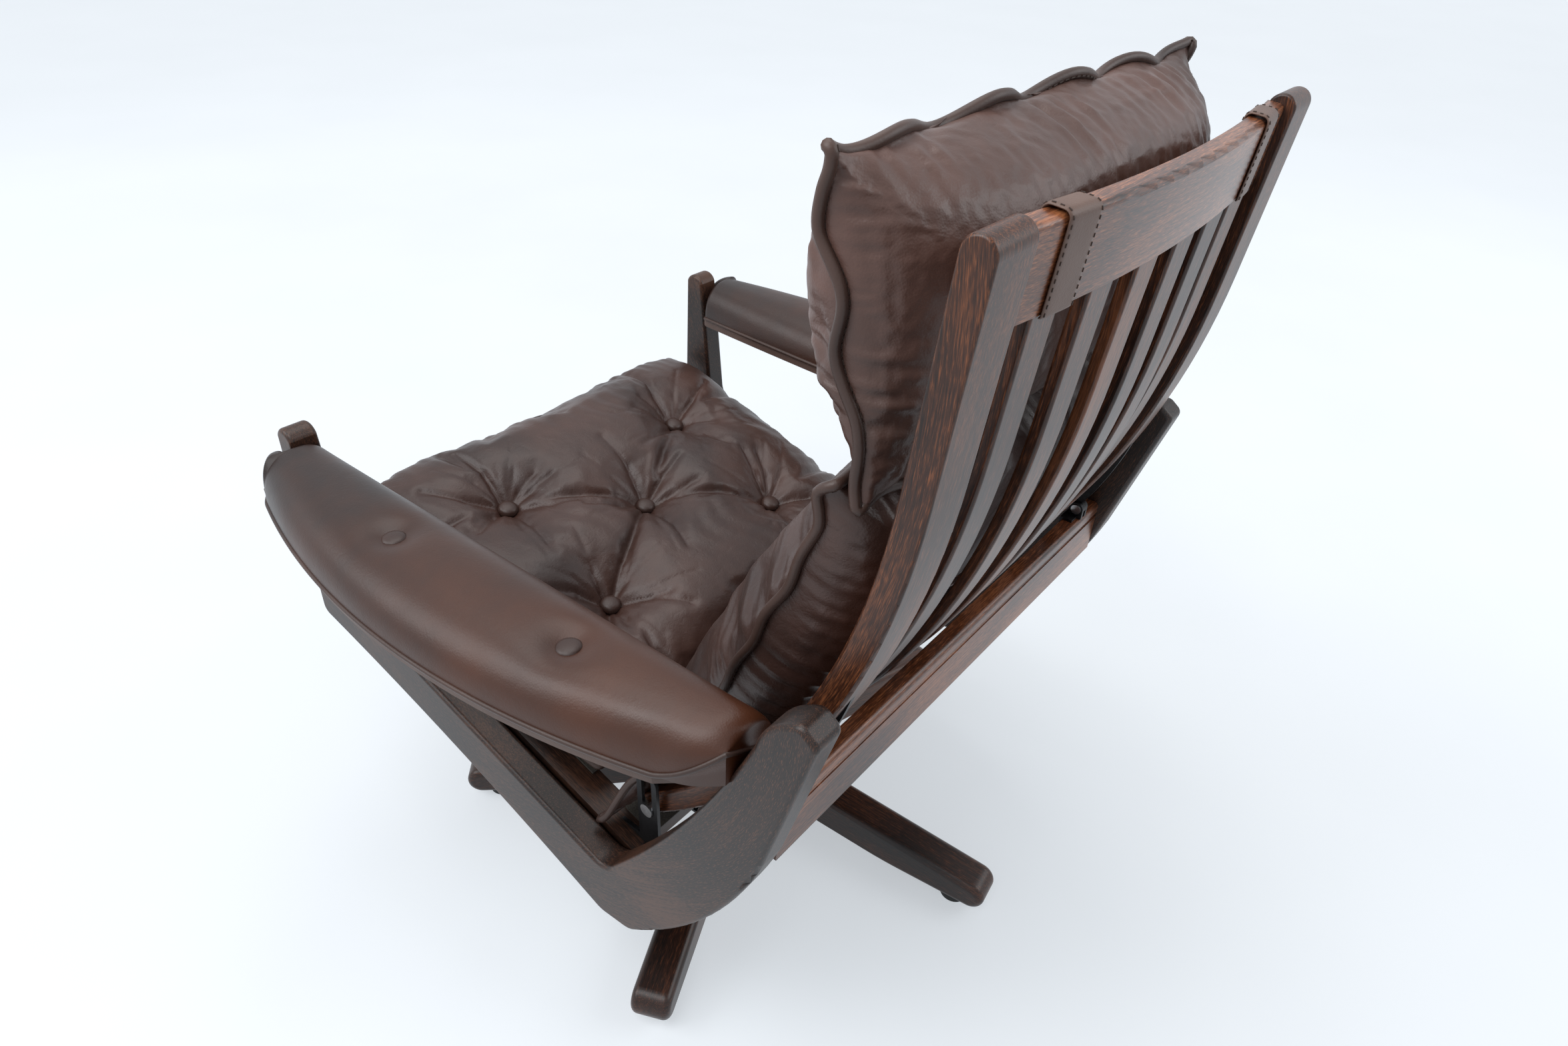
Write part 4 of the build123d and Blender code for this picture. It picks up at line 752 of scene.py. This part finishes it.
HEAD = {
    "angles": (-9.0, 7.9), "half": 0.264, "flare_top": 0.006, "flare_foot": 0.003, "widening": 0.0,
    "wave": 0.0075, "wave_rate": 50.0, "ear_top": 0.020, "ear_foot": 0.010, "bow": 0.014, "back_roll": 3.4,
    "front": ((-9.6, 96.0), (-8.2, 126.0), (-5.0, 144.0), (-2.3, 149.0), (2.4, 144.0), (6.3, 114.0),
              (8.2, 66.0)),
    "welt": ((-10.6, 92.0), (-8.5, 101.0), (-6.0, 102.0), (-3.0, 97.0), (0.0, 91.0), (2.6, 83.0),
             (4.5, 73.0), (6.3, 61.0), (8.2, 52.0)),
    "rear": ((-11.2, 80.0), (-10.0, 56.0), (-8.6, 38.0), (-7.0, 28.0), (-5.2, 25.0), (7.0, 25.0),
             (8.2, 30.0)),
}


def arc_degrees(length):
    """The angle that a length takes on the back's curve."""
    return degrees(length / BACK_RADIUS)


def keep_off_slats(obj):
    """Bring every point of a back cushion forward of the slats and stiles."""
    lean = radians(BACK_LEAN)
    foot = on_back(0.0, BACK_LEAN, 0.0)
    for vertex in obj.data.vertices:
        y, z = vertex.co.y - BACK_CENTRE[0], vertex.co.z - BACK_CENTRE[1]
        reach = hypot(y, z)
        angle = degrees(atan2(-z, y))
        if angle < BACK_LEAN:
            out = (vertex.co.y - foot[1]) * cos(lean) - (vertex.co.z - foot[2]) * sin(lean)
            if -out < BACK_RUB:
                vertex.co.y -= (BACK_RUB + out) * cos(lean)
        elif angle < BACK_FOOT and BACK_RADIUS - reach < BACK_RUB:
            scale = (BACK_RADIUS - BACK_RUB) / reach
            vertex.co.y = BACK_CENTRE[0] + y * scale
            vertex.co.z = BACK_CENTRE[1] + z * scale


def build_back_cushion(name, node, material, shape):
    """A pillow of two leather sheets on the curved back, sewn at a wavy rim with pointed corners."""
    side_hollow, piping_radius, piping_lift, pitch = 0.006, 0.0042, 0.0012, 0.0060
    columns, rows = spread(101), spread(81)
    top_angle, foot_angle = shape["angles"]
    middle_angle = (top_angle + foot_angle) / 2
    wave, rate = shape["wave"], shape["wave_rate"]
    edge = np.zeros((len(rows), len(columns)))
    along = np.zeros_like(edge)
    front = np.zeros((len(rows), len(columns), 3))
    back = np.zeros_like(front)
    for i, t in enumerate(rows):
        high, low = (1 - t) / 2, (1 + t) / 2
        for j, s in enumerate(columns):
            angle = middle_angle + t * (foot_angle - top_angle) / 2
            angle -= arc_degrees(shape["ear_top"] * (abs(s) ** 9 * high ** 9))
            angle += arc_degrees(shape["ear_foot"] * (abs(s) ** 9 * low ** 12))
            angle -= arc_degrees(shape["bow"] * (1 - s ** 4) * high ** 3)
            half = shape["half"] + shape["flare_top"] * high ** 9 + shape["flare_foot"] * low ** 10
            half += shape["widening"] * low ** 3
            half -= side_hollow * (1 - t * t)
            full = roll(s, 5.0) * roll(t, 5.0)
            rub = min(1.0, roll(s, shape["back_roll"]) * roll(t, shape["back_roll"]) * 1.1)
            side_gap, end_gap = (1 - abs(s)) * half, (1 - abs(t)) * radians(foot_angle - top_angle) * 0.33
            edge[i, j] = min(side_gap, end_gap)
            along[i, j] = radians(angle) * BACK_RADIUS if side_gap < end_gap else s * half
            seam = between(shape["welt"], angle) * MM
            if full == 0.0 and abs(t) == 1.0:
                seam += wave * sin(s * half * rate + 0.6) * (1 - s ** 8)
                angle -= t * arc_degrees(wave * 0.8 * sin(s * half * rate * 1.1) * (1 - s ** 8))
            elif full == 0.0:
                seam += wave * 0.7 * sin(angle * 0.9 + 1.0)
            near = between(shape["front"], angle) * MM
            far = between(shape["rear"], angle) * MM
            front[i, j] = on_back(s * half, angle, seam + (max(near, seam) - seam) * full)
            back[i, j] = on_back(s * half, angle, seam - (seam - min(far, seam)) * rub)
    verts, faces, rim = two_sheets(front, back)
    obj = make_object(name, verts, [face[::-1] for face in faces], material)
    held = {v: 1.0 for v in rim}
    for v in range(len(rows) * len(columns), len(verts)):
        held[v] = 0.55
    inflate(obj, held, pressure=1.6, cap=0.012)
    points = [v.co.copy() for v in obj.data.vertices]
    edge, along = refine(obj, {"edge": both_sheets(edge), "along": both_sheets(along)})
    gather(obj, edge, along, depth=0.0016, reach=0.040, pitch=0.022)
    keep_off_slats(obj)
    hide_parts(node)
    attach(obj, "back")
    centre = on_back(0.0, middle_angle, between(shape["welt"], middle_angle) * MM)
    path = piping_along(name + "_piping", points, rim, centre, piping_radius, piping_lift, "back")
    stitches(name + "_stitches", path, centre, piping_radius, pitch, "back")


# Arm pads: an outline holds shares of the pad's width and length, from its inner front corner.
PAD_INNER_SHARES = ((0.121, 0.048), (0.029, 0.475), (0.000, 0.833))
PAD_OUTER_SHARES = ((0.636, 0.003), (1.000, 0.504), (0.636, 0.904))
PAD_BUTTON_SHARES = ((0.514, 0.360), (0.443, 0.720))
PAD_FRONT_SHARE, PAD_REAR_SHARE = 0.004, 0.980
PAD_WIDTH, PAD_LENGTH, PAD_THICK = 0.140, 0.670, 0.049
PAD_INNER, PAD_FRONT = 0.283, -0.3720
POST_REAR, POST_OUTER = -0.3405, 0.3385
PAD_DENT_DEPTH, PAD_DENT_REACH = 0.0125, 0.020
PAD_BUTTON_RADIUS, PAD_BUTTON_HEIGHT, PAD_BUTTON_SINK = 0.0120, 0.0046, 0.0085


def on_pad(x_share, y_share):
    """Place in plan on the left pad at shares of its width and length."""
    return PAD_INNER + x_share * PAD_WIDTH, PAD_FRONT + y_share * PAD_LENGTH


def side_share(points, share):
    """Share of the width at a share of the length, on the parabola through three points."""
    (x0, y0), (x1, y1), (x2, y2) = points
    a = (share - y1) * (share - y2) / ((y0 - y1) * (y0 - y2)) * x0
    b = (share - y0) * (share - y2) / ((y1 - y0) * (y1 - y2)) * x1
    return a + b + (share - y0) * (share - y1) / ((y2 - y0) * (y2 - y1)) * x2


def nearness(gap, length):
    """One at an end, falling straight to zero a length away from it."""
    return max(0.0, 1 - gap / length)


def rounded(gap, length):
    """Zero at an end, rising round to one a length away from it."""
    return sqrt(max(0.0, 1 - nearness(gap, length) ** 2.2))


def pad_section(share, across):
    """Points of one section of the left pad's top, from its inner to its outer edge."""
    x_low, place = on_pad(side_share(PAD_INNER_SHARES, share), share)
    x_high, _ = on_pad(side_share(PAD_OUTER_SHARES, share), share)
    front_gap = (share - PAD_FRONT_SHARE) * PAD_LENGTH
    rear_gap = (PAD_REAR_SHARE - share) * PAD_LENGTH
    x_high -= 0.022 * nearness(front_gap, 0.040) ** 2.2
    x_high -= 0.012 * nearness(rear_gap, 0.034) ** 2
    if place < POST_REAR:
        x_low = max(x_low, POST_OUTER)
    hook = 0.034 * nearness(rear_gap, 0.052) ** 1.5
    rise_share = (0.30 + 0.70 * rounded(front_gap, 0.034)) * (0.80 + 0.20 * rounded(rear_gap, 0.022))
    middle, half = (x_low + x_high) / 2, (x_high - x_low) / 2
    points = []
    for s in across:
        raised = hook * max(0.0, s)
        x = middle + s * half
        z = ARM_TOP + 0.0015 + raised + roll(s, 2.6, 0.46) * (rise_share * PAD_THICK - raised)
        for spot in PAD_BUTTON_SHARES:
            spot_x, spot_y = on_pad(*spot)
            away = hypot(x - spot_x, place - spot_y)
            z -= PAD_DENT_DEPTH * np.exp(-(away / PAD_DENT_REACH) ** 1.5)
        points.append((x, place, z))
    return points


def build_arm(side, sign):
    """Arm pad: taut leather over foam, rounded at its edges and notched round both posts."""
    lengthways, crosswise = 150, 41
    across = [sin(pi / 2 * (2 * j / (crosswise - 1) - 1)) for j in range(crosswise)]
    verts, faces = [], []
    for i in range(lengthways):
        share = PAD_FRONT_SHARE + (PAD_REAR_SHARE - PAD_FRONT_SHARE) * (
            1 - cos(pi * i / (lengthways - 1))) / 2
        verts += [(sign * x, y, z) for x, y, z in pad_section(share, across)]
    inner = verts[::crosswise]
    outer = verts[crosswise - 1::crosswise]
    top_count = len(verts)
    for ends in zip(inner, outer):
        verts += [(x, y, ARM_TOP + 0.0002) for x, y, z in ends]
    for i in range(lengthways - 1):
        a, b = i * crosswise, (i + 1) * crosswise
        for j in range(crosswise - 1):
            faces.append((a + j, a + j + 1, b + j + 1, b + j))
        low_a, low_b = top_count + 2 * i, top_count + 2 * (i + 1)
        faces.append((a, b, low_b, low_a))
        faces.append((b + crosswise - 1, a + crosswise - 1, low_a + 1, low_b + 1))
        faces.append((low_a, low_b, low_b + 1, low_a + 1))
    faces.append((*range(crosswise - 1, -1, -1), top_count, top_count + 1))
    faces.append((*range(top_count - crosswise, top_count), len(verts) - 1, len(verts) - 2))
    if sign < 0:
        faces = [face[::-1] for face in faces]
    obj = make_object(f"arm_cover_{side}", verts, faces, arm_brown)
    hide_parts(f"arm_pad_{side}")
    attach(obj, "chair")
    tube(f"arm_seam_{side}", outer + inner[::-1], 0.0026, piping, "chair")


def build_arm_buttons():
    """The four buttons of the arm pads."""
    spots = []
    for sign in (1, -1):
        for shares in PAD_BUTTON_SHARES:
            x, y = on_pad(*shares)
            spots.append((sign * x, y, ARM_TOP + PAD_THICK - PAD_BUTTON_SINK))
    button("arm_button_covers", spots, UPWARD, PAD_BUTTON_RADIUS, PAD_BUTTON_HEIGHT, "chair", "arm_buttons")


# Straps over the top rail, which is bowed and stands a little forward of the stiles' rear faces
STRAP_HALF, STRAP_MIDDLE, STRAP_THICK = 0.0188, 0.1710, 0.0027
RAIL_LOW, RAIL_DEPTH, RAIL_THICK = 0.102, 0.062, 0.015
RAIL_BOW, RAIL_RECESS, BACK_GAP_HALF = 0.015, 0.009, 0.229
STITCH_PITCH, STITCH_HALF, STITCH_END, STITCH_LOOK = 0.0055, 0.0013, 0.006, 0.001


def above_curve(x, rise, inset):
    """Point of the straight upper part of the back, rise along it from the curve's end."""
    lean = radians(BACK_LEAN)
    return on_back(x, BACK_LEAN, inset) + np.array((0.0, sin(lean), cos(lean))) * rise


def strap_path():
    """The strap's middle line as (rise, distance behind the rail): up behind, over, and down in front."""
    bend, lip = 0.0055, 0.0018
    turns = [radians(v) for v in range(0, 91, 15)]
    low, high = -STRAP_THICK * 0.55, RAIL_DEPTH + STRAP_THICK * 0.55 + 0.0015
    back, front = STRAP_THICK * 0.55, -(RAIL_THICK + STRAP_THICK * 0.9)
    path = [(low, back - lip)]
    path += [(low + lip - lip * cos(turn), back - lip + lip * sin(turn)) for turn in turns[1:]]
    path += [(low + (high - low) * share, back) for share in (0.15, 0.3, 0.45, 0.6, 0.75)]
    path += [(high - bend + bend * sin(turn), back - bend + bend * cos(turn)) for turn in turns]
    path += [(high - bend + bend * cos(turn), front + bend - bend * sin(turn)) for turn in turns]
    path += [(high - 0.020, front), (high - 0.035, front - 0.0015), (high - 0.048, front - 0.0025)]
    return np.array(path)


def build_strap(side, sign):
    """Leather strap over the top rail: round at its edges and bends, stitched along both sides."""
    path = strap_path()
    ways = unit(np.gradient(path, axis=0))
    bow_radius = (BACK_GAP_HALF ** 2 + RAIL_BOW ** 2) / (2 * RAIL_BOW)
    columns = np.linspace(-1.0, 1.0, 13)
    sheets = []
    for layer in (1, -1):
        grid = np.zeros((len(path), len(columns), 3))
        for i, ((rise, behind), (along, away)) in enumerate(zip(path, ways)):
            open_end = 0.0 if i in (0, len(path) - 1) else 1.0
            for j, s in enumerate(columns):
                x = sign * (STRAP_MIDDLE + s * STRAP_HALF)
                bow = sqrt(bow_radius ** 2 - x * x) - bow_radius + RAIL_BOW - RAIL_RECESS
                lift = layer * STRAP_THICK / 2 * roll(s, 10.0) * open_end
                grid[i, j] = above_curve(x, RAIL_LOW + rise - away * lift, -(bow + behind + along * lift))
        sheets.append(grid)
    verts, faces, _ = two_sheets(*sheets)
    if sign > 0:
        faces = [face[::-1] for face in faces]
    obj = make_object(f"strap_band_{side}", verts, faces, strap_brown)
    subdivide(obj)
    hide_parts(f"strap_{side}")
    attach(obj, "back")
    marks = []
    cross = np.array(ACROSS)
    for j in (1, len(columns) - 2):
        line = sheets[0][:, j]
        lengths = lengths_along(line)
        for place in np.arange(STITCH_END, lengths[-1] - STITCH_END, STITCH_PITCH):
            spot = places_along(line, lengths, place)
            way = unit(places_along(line, lengths, place + STITCH_LOOK) - spot)
            marks.append((spot, way, cross, np.cross(way, cross)))
    dashes(f"strap_stitches_{side}", marks, STITCH_HALF, 0.00035, "back")


build_seat()
build_back_cushion("lumbar_pillow", "lumbar_cushion", brown, LUMBAR)
# The head pillow wears the lighter, painted-light copy of the brown leather.
build_back_cushion("head_pillow", "head_cushion", lit_head_brown, HEAD)
for side, sign in (("left", 1), ("right", -1)):
    build_arm(side, sign)
    build_strap(side, sign)
build_arm_buttons()


# Camera, light and floor
CAMERA_PLACE = (0.7202, 0.62305, 1.11317)
CAMERA_AZIMUTH, CAMERA_ELEVATION, CAMERA_BANK = radians(127.7782), radians(35.0022), radians(2.8222)
CAMERA_LENS, CAMERA_SENSOR = 22.546, 36.0
SKY_COLOUR = (0.90, 0.95, 1.0, 1.0)
DAYLIGHT, WARM_LIGHT = (0.98, 0.99, 1.0), (1.0, 0.99, 0.97)
WINDOW_SIZE = 2.2
FLOOR_REACH = 40.0


def place_camera():
    """The photograph's viewpoint."""
    level = cos(CAMERA_ELEVATION)
    back = Vector((sin(CAMERA_AZIMUTH) * level, -cos(CAMERA_AZIMUTH) * level, sin(CAMERA_ELEVATION)))
    right = (-back).cross(Vector((0, 0, 1))).normalized()
    up = right.cross(-back)
    right, up = (right * cos(CAMERA_BANK) + up * sin(CAMERA_BANK),
                 up * cos(CAMERA_BANK) - right * sin(CAMERA_BANK))
    data = bpy.data.cameras.new("camera")
    data.sensor_width = CAMERA_SENSOR
    data.lens = CAMERA_LENS
    data.clip_end = 100.0
    camera = bpy.data.objects.new("camera", data)
    rows = [(right[axis], up[axis], back[axis], CAMERA_PLACE[axis]) for axis in range(3)]
    camera.matrix_world = Matrix((*rows, (0, 0, 0, 1)))
    bpy.context.scene.collection.objects.link(camera)
    bpy.context.scene.camera = camera


def area_light(name, place, target, size, power, tint):
    """A square soft light aimed at a point, itself unseen."""
    data = bpy.data.lights.new(name, "AREA")
    data.size = size
    data.energy = power
    data.color = tint
    obj = bpy.data.objects.new(name, data)
    obj.location = place
    obj.rotation_euler = (Vector(target) - Vector(place)).to_track_quat("-Z", "Y").to_euler()
    obj.visible_camera = False
    bpy.context.scene.collection.objects.link(obj)


def seen_rays(tree):
    """One for camera, glossy and transmission rays, which see the white backdrop, else zero."""
    rays = tree.nodes.new("ShaderNodeLightPath").outputs
    mirrored = calc(tree, "MAXIMUM", rays["Is Glossy Ray"], rays["Is Transmission Ray"])
    return calc(tree, "MAXIMUM", rays["Is Camera Ray"], mirrored)


def place_sky():
    """An even pale sky, brighter where it is seen than where it lights."""
    world = bpy.data.worlds.new("world")
    bpy.context.scene.world = world
    world.use_nodes = True
    tree = world.node_tree
    sky = tree.nodes["Background"]
    sky.inputs[0].default_value = SKY_COLOUR
    strength = calc(tree, "ADD", calc(tree, "MULTIPLY", seen_rays(tree), 0.52), 0.38)
    tree.links.new(strength, sky.inputs[1])


def place_lights():
    """A window at the view's left, a small one near the arm, one far behind and one above."""
    area_light("window", (2.5, -1.9, 2.7), (0.0, 0.0, 0.6), WINDOW_SIZE, 52.0, DAYLIGHT)
    area_light("near_window", (0.95, 0.10, 1.80), (0.15, 0.25, 0.88), 0.9, 10.0, DAYLIGHT)
    area_light("far_window", (-2.0, 2.7, 2.6), (0.0, 0.0, 0.5), WINDOW_SIZE, 38.0, DAYLIGHT)
    area_light("above", (-0.3, -0.6, 3.3), (0.0, 0.0, 0.4), WINDOW_SIZE, 30.0, WARM_LIGHT)


def lay_floor():
    """A pale floor that fades into the backdrop away from the chair."""
    corners = [(-FLOOR_REACH, -FLOOR_REACH, 0), (FLOOR_REACH, -FLOOR_REACH, 0),
               (FLOOR_REACH, FLOOR_REACH, 0), (-FLOOR_REACH, FLOOR_REACH, 0)]
    mesh = bpy.data.meshes.new("floor")
    mesh.from_pydata(corners, [], [(0, 1, 2, 3)])
    floor = bpy.data.objects.new("floor", mesh)
    bpy.context.scene.collection.objects.link(floor)
    material, tree, shader = new_shader("floor paint", 0.85)
    shader.inputs["Specular IOR Level"].default_value = 0.15
    place = own_place(tree)
    tone = noise(tree, place, 1.5)
    colour(tree, shader, tone, ((0.3, (0.50, 0.52, 0.54)), (0.7, (0.54, 0.56, 0.58))))
    shader.inputs["Emission Color"].default_value = SKY_COLOUR
    away = tree.nodes.new("ShaderNodeVectorMath")
    away.operation = "LENGTH"
    tree.links.new(place, away.inputs[0])
    fade = tree.nodes.new("ShaderNodeMapRange")
    for socket, value in (("From Min", 0.6), ("From Max", 3.5), ("To Min", 0.50), ("To Max", 0.70)):
        fade.inputs[socket].default_value = value
    tree.links.new(away.outputs["Value"], fade.inputs["Value"])
    strength = calc(tree, "MULTIPLY", seen_rays(tree), fade.outputs[0])
    tree.links.new(strength, shader.inputs["Emission Strength"])
    mesh.materials.append(material)


place_camera()
place_sky()
place_lights()
lay_floor()
bpy.context.scene.view_settings.view_transform = "Standard"
